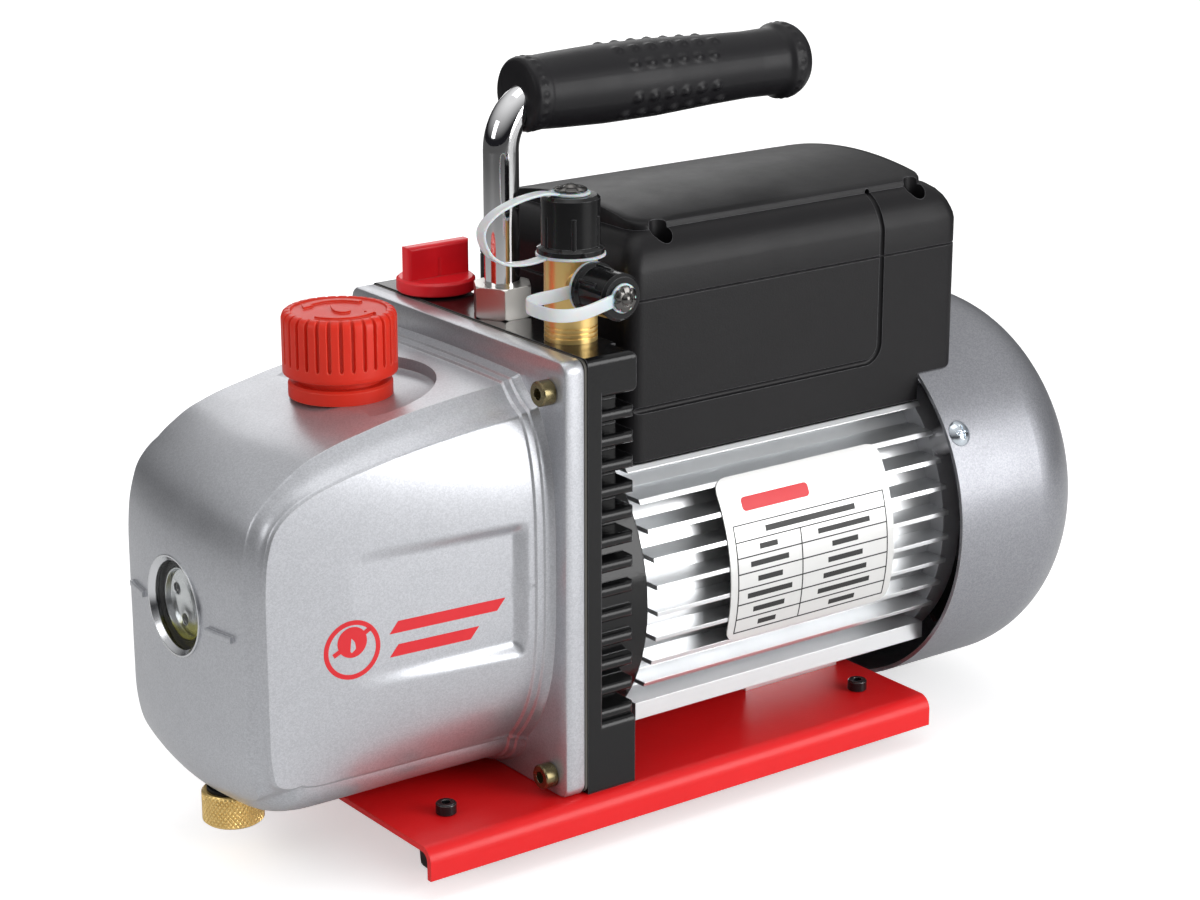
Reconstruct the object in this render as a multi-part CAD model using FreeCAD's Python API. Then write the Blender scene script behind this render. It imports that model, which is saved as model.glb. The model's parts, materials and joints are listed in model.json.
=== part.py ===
import FreeCAD, Part

import math
import os

# Two-stage rotary vane vacuum pump with its electric motor, millimetres.
# X runs from the oil case (-X) along the shaft to the fan cover (+X), Z is up. While the parts are
# made, X is counted from the front face of the oil case's flange, Y from the middle plane and Z from
# the top of the base plate. Every part is moved by TO_ORIGIN when it is written, so that the origin
# ends up on the floor under the middle of the pump.

V = FreeCAD.Vector
X_AXIS, Y_AXIS, Z_AXIS = V(1, 0, 0), V(0, 1, 0), V(0, 0, 1)

# ---- driving dimensions -------------------------------------------------------------------------
SHAFT_Z = 60.0                      # shaft axis above the base plate
FRONT_X, REAR_X = -110.0, 243.8     # front of the oil case, back of the fan cover
RUN = 0.05                          # radial running clearance
THREAD_GAP = 0.05                   # radial gap left in place of a thread's helix
SEAT = 0.01                         # gap that keeps pressed parts from sharing volume

PLATE_X = (-58.0, 160.5)            # base plate, front and rear ends
PLATE_HALF = 69.5
PLATE_SHEET = 2.0
PLATE_LIP = 11.0                    # depth of the turned-down sides
PLATE_BEND = 5.0                    # outer bend radius
FOOT_X, FOOT_Y = (-37.5, 144.0), 48.0
FOOT_BOTTOM = -18.0

FLANGE = 8.0                        # thickness of the oil case's flange
FLANGE_HALF = 64.5
FLANGE_TOP = 152.0
CASE_SCREW_Y, CASE_SCREW_Z = 56.0, (7.0, 141.0)
CASE_WALL = 4.0

BODY_X = (9.0, 28.7)                # black pump body, behind the 1 mm gasket
BODY_PLATE_X = 14.6                 # back of its front plate, where the ribs start
BODY_WALL_HALF = 53.0
RIB_COUNT, RIB_PITCH, RIB_TOP_Z, RIB_THICK = 13, 8.7, 131.2, 4.2
BLOCK_TOP_Z, BLOCK_BOTTOM_Z = 137.8, 24.6
SPIGOT_R, SPIGOT_X = 61.0, 36.6

DECK_X = 20.5                       # the deck's three fittings stand in one row across it
INTAKE_Y, BALLAST_Y = -39.5, 41.0
TOP_NIPPLE_R, SIDE_NIPPLE_R = 7.94, 5.56
TOP_CAP_Z = (181.5, 200.6)          # brim and closed end of the top port's cap
SIDE_PORT_Z = 171.5
SIDE_CAP_Y = (INTAKE_Y - 12.3, INTAKE_Y - 28.2)

FILL_X = -44.5                      # oil filler, on the middle plane
DRAIN_X, DRAIN_SEAT_Z = -91.0, 8.0  # the drain plug seats in a recess under the case
GLASS_Z, GLASS_R = 75.0, 17.0
LENS_R, LENS_X = 15.35, (FRONT_X + 2.0, FRONT_X + 4.0)
SEAL_X = (LENS_X[1] + 0.1, LENS_X[1] + 1.6)
WELL_R, WELL_FLOOR_X = 12.0, FRONT_X + 7.5       # the oil-filled well behind the sight glass
WELL_DRILLINGS = ((8.0, GLASS_Z + 2.5), (3.5, GLASS_Z - 7.0))   # through its floor, as (y, z)

HANDLE_R = 6.1
HANDLE_Z = 226.5                    # centre of the horizontal part of the handle
HANDLE_BEND = 18.0
GRIP_X = (27.0, 148.5)

MOTOR_X = (37.0, 172.0)             # finned motor housing
MOTOR_BORE_R, MOTOR_CORE_R, FIN_TIP_R = 47.0, 54.0, 64.0
FIN_COUNT, FIN_PITCH, FIN_TOP_Z, FIN_THICK = 10, 9.27, 104.3, 1.6
STACK_X = (62.0, 132.0)             # stator lamination stack
STATOR_BORE_R = 27.0
SLOT_COUNT = 24
SHAFT_R = 7.5                       # motor shaft at the bearings
BEARING_R, BEARING_WIDE = 17.5, 11.0
FRONT_BEARING_X, REAR_BEARING_X = 25.5, 168.0

COVER_R, COVER_RIM_X, COVER_SHEET = 72.0, 171.4, 1.4
COVER_CORNER = 32.0
COVER_SCREW_ANGLES = (30.0, 150.0, 270.0)
COVER_SCREW_X = 177.0
FAN_R, FAN_X = 62.0, (186.0, 210.0)

BOX_X = (40.0, 189.5)               # terminal box over the motor
BOX_HALF = 46.0
BOX_Z, SEAM_Z, SHOULDER_Z, LEDGE_Z, LID_TOP_Z = 106.0, 162.0, 171.0, 183.2, 189.8
BOX_WALL = 2.5
INLET_Y, SWITCH_Y, SOCKET_Z = -18.0, 20.0, 147.5   # power inlet and switch in the box's rear wall
INLET_HALF = (13.6, 10.0)           # half sizes of their openings, across and up
SWITCH_HALF = (10.5, 7.0)

STAGE1_X = (-21.0, 9.0)             # pumping chambers, in front of the pump body
STAGE2_X = (-41.0, -29.0)
END_PLATE_X = -49.0
ROTOR_R, CHAMBER_R = 24.0, 28.5
CHAMBER_DROP = CHAMBER_R - ROTOR_R - RUN   # the rotor runs close to the top of each chamber
VANE_THICK, VANE_DEEP = 4.0, 13.5
CHAMBER_Z = SHAFT_Z - CHAMBER_DROP
CARTRIDGE_R = 38.0

TO_ORIGIN = V(-(FRONT_X + REAR_X) / 2, 0, -FOOT_BOTTOM)


# ---- helpers ------------------------------------------------------------------------------------
def block(x, y, z):
    """A box between two values on each axis."""
    return Part.makeBox(x[1] - x[0], y[1] - y[0], z[1] - z[0], V(x[0], y[0], z[0]))


def rod(radius, start, end):
    """A round bar between two points."""
    length = end.sub(start)
    return Part.makeCylinder(radius, length.Length, start, length)


def ring(outer, inner, start, end):
    return rod(outer, start, end).cut(rod(inner, start, end))


def on_shaft(x):
    """The point of the shaft axis at one station."""
    return V(x, 0, SHAFT_Z)


def turned(outline, base, axis):
    """Turns an outline of (radius, height) points about an axis that starts at base."""
    points = [V(radius, 0, height) for radius, height in outline]
    face = Part.Face(Part.makePolygon(points + points[:1]))
    solid = face.revolve(V(0, 0, 0), Z_AXIS, 360)
    solid.Placement = FreeCAD.Placement(base, FreeCAD.Rotation(Z_AXIS, axis))
    return solid


def around(shape, count, centre, axis, start=0.0):
    """Copies of a shape at equal angles about an axis."""
    copies = []
    for index in range(count):
        copy = shape.copy()
        copy.rotate(centre, axis, start + 360.0 * index / count)
        copies.append(copy)
    return copies


def fused(shapes):
    return shapes[0].multiFuse(shapes[1:]).removeSplitter()


def less(shape, cutters):
    """A shape with many cutters taken out of it at once."""
    return shape.cut(Part.makeCompound(cutters))


def mirrored(shape):
    return shape.mirror(V(0, 0, 0), Y_AXIS)


def prism(points, axis_step):
    """A straight prism from a polygon."""
    return Part.Face(Part.makePolygon(points + points[:1])).extrude(axis_step)


def edges_along(shape, axis, keep=lambda edge: True):
    """The straight edges of a shape that run along one axis."""
    found = []
    for edge in shape.Edges:
        if edge.Curve.TypeId == "Part::GeomLine" and abs(abs(edge.Curve.Direction.dot(axis)) - 1) < 1e-6:
            if keep(edge):
                found.append(edge)
    return found


def hexagon(across_flats, start, height):
    """A hexagonal bar standing on a point, along Z."""
    corner = across_flats / math.sqrt(3)
    points = [start + V(corner * math.cos(math.radians(60 * i)), corner * math.sin(math.radians(60 * i)), 0)
              for i in range(6)]
    return prism(points, V(0, 0, height))


def write(name, shape):
    moved = shape.copy()
    moved.translate(TO_ORIGIN)
    moved.exportStep("parts/" + name + ".step")


# ---- fasteners ----------------------------------------------------------------------------------
def socket_screw(seat, direction, radius, length, head_r, head_high, key_r):
    """A socket-head screw whose head sits on a point; the shank runs along direction."""
    along = V(direction).normalize()
    head = rod(head_r, seat, seat - along * head_high)
    head = head.makeChamfer(0.4, [head.Edges[0], head.Edges[2]])
    shank = rod(radius, seat, seat + along * length)
    socket = Part.makeCylinder(key_r, head_high * 0.55, seat - along * head_high, along)
    return head.fuse(shank).cut(socket).removeSplitter()


def pan_screw(seat, direction, radius, length, head_r, head_high):
    """A cross-recess screw with a low domed head."""
    along = V(direction).normalize()
    dome_r = (head_r ** 2 + head_high ** 2) / (2 * head_high)
    dome = Part.makeSphere(dome_r, seat + along * (dome_r - head_high))
    head = dome.common(rod(head_r, seat, seat - along * head_high))
    shank = rod(radius, seat, seat + along * length)
    flat = V(0, 0, 1) if abs(along.z) < 0.9 else V(1, 0, 0)
    across = along.cross(flat).normalize()
    arms = []
    for arm in (across, along.cross(across)):
        arms.append(rod(head_r * 0.13, seat - along * head_high * 0.75 - arm * head_r * 0.55,
                        seat - along * head_high * 0.75 + arm * head_r * 0.55))
    recess = Part.makeCompound([arm.fuse(arm.translated(along * -head_high * 0.6)) for arm in arms])
    return head.fuse(shank).cut(recess).removeSplitter()


# ---- base ---------------------------------------------------------------------------------------
def foot_places():
    return [V(x, y, 0) for x in FOOT_X for y in (-FOOT_Y, FOOT_Y)]


def bolt_places():
    """Bolts from below: two into the pump body and two into the motor housing's feet."""
    return [V(DECK_X, y, 0) for y in (-45.0, 45.0)] + [V(132.0, y, 0) for y in (-18.0, 18.0)]


def base_plate():
    outer = block(PLATE_X, (-PLATE_HALF, PLATE_HALF), (-PLATE_LIP, 0))
    outer = outer.makeFillet(PLATE_BEND, edges_along(outer, X_AXIS, lambda e: e.CenterOfMass.z > -1))
    inner_half = PLATE_HALF - PLATE_SHEET
    inner = block(PLATE_X, (-inner_half, inner_half), (-PLATE_LIP - 1, -PLATE_SHEET))
    inner = inner.makeFillet(PLATE_BEND - PLATE_SHEET,
                             edges_along(inner, X_AXIS, lambda e: e.CenterOfMass.z > -PLATE_LIP))
    down = V(0, 0, -PLATE_SHEET - 1)
    holes = [rod(2.2, place + V(0, 0, 1), place + down) for place in foot_places()]
    holes += [rod(3.3, place + V(0, 0, 1), place + down) for place in bolt_places()]
    return less(outer.cut(inner), holes)


def rubber_feet():
    """Tapered bumpers under the plate, each with a recess that hides its nut."""
    outline = [(2.2, FOOT_BOTTOM + 7.2), (4.6, FOOT_BOTTOM + 7.2), (4.6, FOOT_BOTTOM), (8.0, FOOT_BOTTOM),
               (8.8, FOOT_BOTTOM + 0.8), (10.0, -PLATE_SHEET), (2.2, -PLATE_SHEET)]
    return Part.makeCompound([turned(outline, place, Z_AXIS) for place in foot_places()])


def foot_screws():
    return Part.makeCompound([socket_screw(place, -Z_AXIS, 2.0, 14.5, 3.5, 4.0, 1.6)
                              for place in foot_places()])


def foot_nuts():
    nuts = []
    for place in foot_places():
        start = place + V(0, 0, FOOT_BOTTOM + 4.0)
        bore = rod(2.0 + THREAD_GAP, start, start + V(0, 0, 3.2))
        nuts.append(hexagon(7.0, start, 3.2).cut(bore))
    return Part.makeCompound(nuts)


def body_bolts():
    bolts = [socket_screw(place + V(0, 0, -PLATE_SHEET), Z_AXIS, 3.0, 12.0, 5.0, 5.0, 2.4)
             for place in bolt_places()]
    return Part.makeCompound(bolts)


# ---- pump body ----------------------------------------------------------------------------------
def case_screw_places():
    return [V(0, y, z) for y in (-CASE_SCREW_Y, CASE_SCREW_Y) for z in CASE_SCREW_Z]


def passage(points, radius):
    """Drillings that join a row of points."""
    legs = [rod(radius, a, b) for a, b in zip(points, points[1:])]
    joints = [Part.makeSphere(radius, point) for point in points[1:-1]]
    return legs[0].multiFuse(legs[1:] + joints)


def pump_body():
    half = FLANGE_HALF
    plate = block((BODY_X[0], BODY_PLATE_X), (-half, half), (0, FLANGE_TOP))
    plate = plate.makeFillet(3.0, edges_along(plate, X_AXIS))
    wall = block(BODY_X, (-BODY_WALL_HALF, BODY_WALL_HALF), (0.0, FLANGE_TOP))
    top = block(BODY_X, (-half, half), (BLOCK_TOP_Z, FLANGE_TOP))
    bottom = block(BODY_X, (-half, half), (0, BLOCK_BOTTOM_Z))
    rear_edges = edges_along(top, Y_AXIS, lambda edge: edge.CenterOfMass.x > 20)
    top = top.makeFillet(2.5, edges_along(top, X_AXIS) + rear_edges)
    bottom = bottom.makeFillet(2.5, edges_along(bottom, X_AXIS, lambda e: e.CenterOfMass.z > 1))
    parts = [plate, wall, top, bottom, rod(SPIGOT_R, on_shaft(BODY_X[0]), on_shaft(SPIGOT_X))]
    for index in range(RIB_COUNT):
        z = RIB_TOP_Z - index * RIB_PITCH
        rib = block(BODY_X, (-half + 0.6, half - 0.6), (z - RIB_THICK / 2, z + RIB_THICK / 2))
        tips = edges_along(rib, X_AXIS) + edges_along(rib, Z_AXIS, lambda e: e.CenterOfMass.x > 20)
        parts.append(rib.makeFillet(1.9, tips))
    above_plate = block((BODY_X[0] - 1, SPIGOT_X + 1), (-half - 1, half + 1), (0, FLANGE_TOP + 1))
    body = fused(parts).common(above_plate)

    cuts = [rod(9.0 + RUN, on_shaft(0), on_shaft(SPIGOT_X + 1)),                       # rotor journal
            rod(15.0 + SEAT, on_shaft(12.0), on_shaft(SPIGOT_X + 1)),                  # shaft seal
            rod(BEARING_R + SEAT, on_shaft(FRONT_BEARING_X), on_shaft(SPIGOT_X + 1))]  # bearing
    cuts += [rod(2.5 + THREAD_GAP, place + V(BODY_X[0] - 1, 0, 0), place + V(24.0, 0, 0))
             for place in case_screw_places()]
    cuts += [rod(3.0 + THREAD_GAP, place + V(0, 0, -1), place + V(0, 0, 14.0))
             for place in bolt_places()[:2]]
    cuts.append(rod(HANDLE_R + THREAD_GAP, V(DECK_X, 0, 136.0), V(DECK_X, 0, FLANGE_TOP + 1)))
    cuts.append(rod(6.6 + THREAD_GAP, V(DECK_X, INTAKE_Y, 138.0), V(DECK_X, INTAKE_Y, FLANGE_TOP + 1)))
    cuts.append(passage([V(DECK_X, INTAKE_Y, 139.0), V(DECK_X, INTAKE_Y, 46.0), V(DECK_X, -22.0, 46.0),
                         V(BODY_X[0] - 1, -22.0, 46.0)], 3.5))
    cuts.append(rod(5.0 + THREAD_GAP, V(DECK_X, BALLAST_Y, 134.0), V(DECK_X, BALLAST_Y, FLANGE_TOP + 1)))
    cuts.append(passage([V(DECK_X, BALLAST_Y, 135.0), V(DECK_X, BALLAST_Y, 46.0), V(DECK_X, 22.0, 46.0),
                         V(BODY_X[0] - 1, 22.0, 46.0)], 1.5))
    return less(body, cuts)


def case_gasket():
    inset = 0.4
    half = FLANGE_HALF - inset
    sheet = block((FLANGE, BODY_X[0]), (-half, half), (inset, FLANGE_TOP - inset))
    sheet = sheet.makeFillet(3.0, edges_along(sheet, X_AXIS))
    holes = [rod(2.8, place + V(FLANGE - 1, 0, 0), place + V(BODY_X[0] + 1, 0, 0))
             for place in case_screw_places()]
    return less(sheet.cut(case_solid(CASE_WALL, FLANGE + 3)), holes)


# ---- oil case -----------------------------------------------------------------------------------
def barrel_section(x, half, bottom, top, inset):
    """One upright section of the case: nearly flat on top, bulged at the sides, round at the bottom."""
    half = half - inset
    bottom = bottom + inset
    top = top - inset
    middle = bottom + (top - bottom) * 0.56
    shoulder = top - 10.0
    right = [V(x, 0, bottom), V(x, half * 0.42, bottom + 1.6), V(x, half * 0.76, bottom + 14.0),
             V(x, half * 0.95, bottom + 38.0), V(x, half, middle), V(x, half * 0.97, top - 28.0),
             V(x, half * 0.86, shoulder), V(x, half * 0.66, top - 1.5), V(x, 0, top)]
    left = [V(x, -point.y, point.z) for point in reversed(right[1:-1])]
    curve = Part.BSplineCurve()
    curve.interpolate(Points=right + left, PeriodicFlag=True)
    return Part.Wire(curve.toShape())


def side_profile(inset, rear):
    """The case seen from the side: a gently falling top, a round brow and a tucked-in chin."""
    front = FRONT_X + inset
    top = 141.5 - inset
    bottom = 3.5 + inset
    slant = inset * 0.7
    brow_start, brow_end, chin_start = V(-85.5, 0, top - 14.2), V(front, 0, 92.5), V(front, 0, 35)
    brow = Part.Arc(brow_start, V(-103.3 + slant, 0, 113.7 - slant), brow_end).toShape()
    crown = Part.Arc(V(rear, 0, top + 1.5), V(-30, 0, top - 2.4), brow_start).toShape()
    face = Part.makeLine(brow_end, chin_start)
    chin = Part.Arc(chin_start, V(-104.2 + slant, 0, 12.0 + slant), V(-86, 0, bottom)).toShape()
    floor = Part.makeLine(V(-86, 0, bottom), V(rear, 0, bottom))
    back = Part.makeLine(V(rear, 0, bottom), V(rear, 0, top + 1.5))
    return Part.Face(Part.Wire([crown, brow, face, chin, floor, back]))


def plan_profile(inset, rear):
    """The case seen from above: a crowned front with tight corners, sides spreading to the flange."""
    front = FRONT_X + inset
    corner = V(-105.0 + inset, 39.0 - inset * 0.8, 0)
    side = V(-97.0 + inset, 44.5 - inset, 0)
    back = V(rear, 60.0, 0)
    nose = Part.Arc(V(corner.x, -corner.y, 0), V(front, 0, 0), corner).toShape()
    turn = Part.Arc(corner, V(-101.5 + inset, 42.8 - inset * 0.9, 0), side).toShape()
    flank = Part.makeLine(side, back)
    tail = Part.makeLine(back, V(back.x, -back.y, 0))
    other = [mirrored(edge) for edge in (flank, turn)]
    return Part.Face(Part.Wire(Part.__sortEdges__([nose, turn, flank, tail] + other)))


def case_solid(inset, rear):
    """The filled outer shape of the case, or its cavity when inset is the wall."""
    barrel = Part.makeLoft([barrel_section(rear, 56.5, 2.0, 146.5, inset),
                            barrel_section(-40.0, 52.0, 2.0, 146.5, inset),
                            barrel_section(-116.0, 45.5, 2.0, 146.5, inset)], True, False)
    side = side_profile(inset, rear).extrude(V(0, 160, 0)).translated(V(0, -80, 0))
    plan = plan_profile(inset, rear).extrude(V(0, 0, 200)).translated(V(0, 0, -20))
    return barrel.common(side).common(plan)


def oil_case():
    half = FLANGE_HALF
    flange = block((0, FLANGE), (-half, half), (0, FLANGE_TOP))
    flange = flange.makeFillet(4.0, edges_along(flange, X_AXIS))
    front_rim = [edge for edge in flange.Edges if edge.CenterOfMass.x < 0.01]
    flange = flange.makeFillet(1.2, front_rim)
    body = case_solid(0.0, 1.0).fuse(flange)
    filler_pad = rod(30.0, V(FILL_X, 0, 135.5), V(FILL_X, 0, 160.0))
    drain_boss = rod(13.5, V(DRAIN_X, 0, 3.0), V(DRAIN_X, 0, DRAIN_SEAT_Z + 10.0))
    filler_boss = rod(18.0, V(FILL_X, 0, 124.0), V(FILL_X, 0, 135.5))
    glass_boss = rod(GLASS_R + 4.0, V(FRONT_X + 2.5, 0, GLASS_Z), V(WELL_FLOOR_X + 3.0, 0, GLASS_Z))
    shell = body.cut(filler_pad).cut(case_solid(CASE_WALL, FLANGE + 1)).removeSplitter()
    inside = case_solid(0.5, 1.0)
    shell = shell.multiFuse([boss.common(inside) for boss in (filler_boss, glass_boss, drain_boss)])
    cuts = [rod(2.8, place + V(-1, 0, 0), place + V(FLANGE + 1, 0, 0)) for place in case_screw_places()]
    cuts.append(rod(12.0 + THREAD_GAP, V(FILL_X, 0, 120.0), V(FILL_X, 0, 140.0)))
    cuts.append(rod(6.0 + THREAD_GAP, V(DRAIN_X, 0, 0), V(DRAIN_X, 0, 25.0)))
    cuts.append(rod(11.4, V(DRAIN_X, 0, -1), V(DRAIN_X, 0, DRAIN_SEAT_Z)))
    cuts.append(rod(GLASS_R + SEAT, V(FRONT_X - 1, 0, GLASS_Z), V(SEAL_X[1] + 0.1, 0, GLASS_Z)))
    cuts.append(rod(WELL_R, V(FRONT_X - 1, 0, GLASS_Z), V(WELL_FLOOR_X, 0, GLASS_Z)))
    for y, z in WELL_DRILLINGS:
        cuts.append(rod(2.0, V(WELL_FLOOR_X - 1, y, z), V(WELL_FLOOR_X + 4, y, z)))
    return less(shell, cuts).removeSplitter()


def case_screws():
    return Part.makeCompound([socket_screw(place, X_AXIS, 2.5, 22.0, 4.25, 5.0, 2.0)
                              for place in case_screw_places()])


def sight_glass_lens():
    return rod(LENS_R, V(LENS_X[0], 0, GLASS_Z), V(LENS_X[1], 0, GLASS_Z))


def sight_glass_seal():
    return ring(16.5, 12.4, V(SEAL_X[0], 0, GLASS_Z), V(SEAL_X[1], 0, GLASS_Z))


def sight_glass_ring():
    """The retaining ring, thin and with a deep bevelled mouth, that holds the glass on its seal."""
    bore, back, lip = LENS_R + RUN, LENS_X[1] - FRONT_X, LENS_X[0] - FRONT_X - RUN
    outline = [(bore, back), (GLASS_R, back), (GLASS_R, 0.0), (16.4, 0.0), (14.8, 1.6), (14.8, lip),
               (bore, lip)]
    return turned(outline, V(FRONT_X, 0, GLASS_Z), X_AXIS)


# ---- filler and drain ---------------------------------------------------------------------------
def filler_collar():
    """Threaded bush in the case top, with the wide rim that the cap seats on."""
    outline = [(9.5, 126.0), (12.0, 126.0), (12.0, 135.5), (17.3, 135.5), (17.3, 139.6), (16.6, 140.4),
               (12.6, 140.4), (12.6, 138.4), (9.5, 138.4)]
    return turned(outline, V(FILL_X, 0, 0), Z_AXIS)


def filler_seal():
    return ring(12.4, 9.5, V(FILL_X, 0, 138.5), V(FILL_X, 0, 140.3))


def oil_fill_cap():
    crown = [(0.01, 127.0), (9.4, 127.0), (9.4, 140.4), (14.0, 140.4), (14.0, 143.0), (19.0, 143.0),
             (19.0, 162.0), (18.4, 163.4), (17.0, 164.0), (0.01, 164.0)]
    cap = turned(crown, V(FILL_X, 0, 0), Z_AXIS)
    groove = rod(0.9, V(FILL_X + 19.25, 0, 146.5), V(FILL_X + 19.25, 0, 165.0))
    grooves = around(groove, 30, V(FILL_X, 0, 0), Z_AXIS)
    hollow = rod(7.0, V(FILL_X, 0, 126.0), V(FILL_X, 0, 160.0))
    return less(cap, grooves + [hollow])


def drain_plug():
    top = DRAIN_SEAT_Z - 1.5
    outline = [(0.01, -5.0), (9.4, -5.0), (10.4, -4.0), (10.4, top - 0.8), (9.6, top), (6.0, top),
               (6.0, DRAIN_SEAT_Z + 8.5), (0.01, DRAIN_SEAT_Z + 8.5)]
    return turned(outline, V(DRAIN_X, 0, 0), Z_AXIS)


def drain_seal():
    return ring(8.6, 6.0 + THREAD_GAP, V(DRAIN_X, 0, DRAIN_SEAT_Z - 1.48), V(DRAIN_X, 0, DRAIN_SEAT_Z - 0.02))


# ---- handle -------------------------------------------------------------------------------------
def handle_path():
    bend = HANDLE_BEND
    foot = V(DECK_X, 0, 138.0)
    knee = V(DECK_X, 0, HANDLE_Z - bend)
    middle = V(DECK_X + bend * (1 - math.sqrt(0.5)), 0, HANDLE_Z - bend * (1 - math.sqrt(0.5)))
    level = V(DECK_X + bend, 0, HANDLE_Z)
    end = V(GRIP_X[1] - 8.0, 0, HANDLE_Z)
    return Part.Wire([Part.makeLine(foot, knee), Part.Arc(knee, middle, level).toShape(),
                      Part.makeLine(level, end)])


def swept_handle(radius):
    circle = Part.Wire(Part.makeCircle(radius, V(DECK_X, 0, 138.0), Z_AXIS))
    return handle_path().makePipeShell([circle], True, True)


def handle_tube():
    return swept_handle(HANDLE_R).cut(swept_handle(HANDLE_R - 1.6))


def handle_nut():
    height = 11.0
    start = V(DECK_X, 0, FLANGE_TOP)
    corner = 18.7 / math.sqrt(3)
    cone = turned([(0.01, -0.1), (corner - 0.9, -0.1), (corner + 0.2, 0.8), (corner + 0.2, height - 0.8),
                   (corner - 0.9, height + 0.1), (0.01, height + 0.1)], start, Z_AXIS)
    bore = rod(HANDLE_R + THREAD_GAP, start, start + V(0, 0, height))
    return hexagon(18.7, start, height).common(cone).cut(bore)


def handle_grip():
    """A waisted rubber sleeve, thick over the finger pads and beaded at its closed end."""
    left, right = GRIP_X
    outline = [(0.01, left), (11.0, left), (12.5, left + 1.2), (12.5, left + 5.0), (12.9, left + 16.0),
               (13.5, left + 34.0), (13.4, left + 56.0), (12.3, left + 80.0), (11.7, left + 98.0),
               (12.0, right - 13.0), (13.4, right - 9.0), (13.4, right - 5.0), (11.6, right - 1.4),
               (9.0, right), (0.01, right)]
    sleeve = turned([(radius, station) for radius, station in outline], V(0, 0, HANDLE_Z), X_AXIS)
    return sleeve.cut(swept_handle(HANDLE_R + SEAT))


# ---- intake tee and its caps --------------------------------------------------------------------
def intake_fitting():
    """Brass tee: threaded foot, round stem and two flare nipples under the caps."""
    centre = V(DECK_X, INTAKE_Y, 0)
    stem = turned([(0.01, 139.0), (6.6, 139.0), (6.6, 152.0), (8.85, 152.0), (8.85, 179.8),
                   (TOP_NIPPLE_R, 180.4), (TOP_NIPPLE_R, 192.0), (4.6, 196.0), (0.01, 196.0)], centre, Z_AXIS)
    side_start = V(DECK_X, INTAKE_Y, SIDE_PORT_Z)
    side = turned([(0.01, 0.0), (6.6, 0.0), (6.6, 12.0), (SIDE_NIPPLE_R, 12.2), (SIDE_NIPPLE_R, 21.0),
                   (3.4, 24.0), (0.01, 24.0)], side_start, V(0, -1, 0))
    grooves = [ring(10.0, 8.3, centre + V(0, 0, z), centre + V(0, 0, z + 0.7))
               for z in (153.6, 155.2, 156.8)]
    bores = [rod(3.4, centre + V(0, 0, 135), centre + V(0, 0, 200)),
             rod(2.2, side_start, side_start + V(0, -30, 0)),
             rod(4.6, centre + V(0, 0, 135), centre + V(0, 0, 146))]
    return less(stem.fuse(side), grooves + bores).removeSplitter()


def intake_screen():
    """A short strainer cup in the foot of the tee."""
    centre = V(DECK_X, INTAKE_Y, 0)
    cup = turned([(0.01, 139.4), (4.5, 139.4), (4.5, 145.8), (4.1, 145.8), (4.1, 139.8), (0.01, 139.8)],
                 centre, Z_AXIS)
    pore = rod(0.45, centre + V(0, 0, 139), centre + V(0, 0, 141))
    pores = [pore.translated(V(1.6 * i, 1.6 * j, 0)) for i in (-1, 0, 1) for j in (-1, 0, 1)]
    return less(cup, pores)


def port_cap(base, axis, length, body_r, flange_r, nipple_r):
    """A blind plastic cap with a brim, six finger ribs and a hole for its rivet."""
    bore_r, bore_end = nipple_r + THREAD_GAP, length - 3.4
    outline = [(bore_r, 0.0), (flange_r, 0.0), (flange_r, 1.6), (body_r, 2.6), (body_r, length - 1.0),
               (body_r - 1.0, length), (1.3, length), (1.3, bore_end), (bore_r, bore_end)]
    cap = turned(outline, base, axis)
    side = V(0, 0, 1) if abs(axis.z) < 0.5 else V(1, 0, 0)
    foot = base + side * (body_r - 0.2)
    rib = rod(0.8, foot + axis * 1.0, foot + axis * length * 0.66)
    return fused([cap] + around(rib, 6, base, axis))


def cap_rivet(base, axis, length, brim_r):
    """A brimmed rivet that holds the tether on the cap's end; its shank turns in the cap."""
    outline = [(0.01, length - 3.0), (1.2, length - 3.0), (1.2, length + 1.3), (brim_r, length + 1.3),
               (brim_r, length + 1.8), (2.6, length + 2.8), (1.5, length + 3.4), (0.01, length + 3.5)]
    return turned(outline, base, axis)


def strap_loop(start, end, bulge, width_axis, width, thick):
    """A flat strap bent over three points, as one swept band."""
    curve = Part.BSplineCurve()
    curve.interpolate(Points=[start] + bulge + [end])
    path = Part.Wire(curve.toShape())
    tangent = curve.tangent(curve.FirstParameter)[0]
    across = V(width_axis).normalize()
    normal = tangent.cross(across).normalize()
    corners = [start + across * (width / 2 * i) + normal * (thick / 2 * j)
               for i, j in ((1, 1), (1, -1), (-1, -1), (-1, 1))]
    section = Part.makePolygon(corners + corners[:1])
    shell = Part.BRepOffsetAPI.MakePipeShell(path)
    shell.setAuxiliarySpine(Part.Wire(path.translated(across * 10).Edges), False, 0)
    shell.add(section)
    shell.build()
    shell.makeSolid()
    return shell.shape()


def top_cap_tether():
    """Ring under the top cap, a disc on top of it and the strap that loops between them."""
    centre = V(DECK_X, INTAKE_Y, 0)
    low, high = TOP_CAP_Z
    ring_z, disc_z = low - 0.55, high + 0.55
    lower = ring(11.6, TOP_NIPPLE_R + 0.3, centre + V(0, 0, low - 1.0), centre + V(0, 0, low - 0.1))
    upper = ring(6.4, 1.4, centre + V(0, 0, high + 0.1), centre + V(0, 0, high + 1.0))
    strap = strap_loop(centre + V(-9.5, 0, ring_z), centre + V(-4.5, 0, disc_z),
                       [centre + V(-22.0, 0, ring_z - 1.0), centre + V(-32.5, 0, ring_z + 5.0),
                        centre + V(-34.0, 0, ring_z + 12.0), centre + V(-25.0, 0, disc_z - 0.2),
                        centre + V(-12.0, 0, disc_z + 0.3)],
                       Y_AXIS, 4.6, 0.9)
    return fused([lower, upper, strap])


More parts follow.
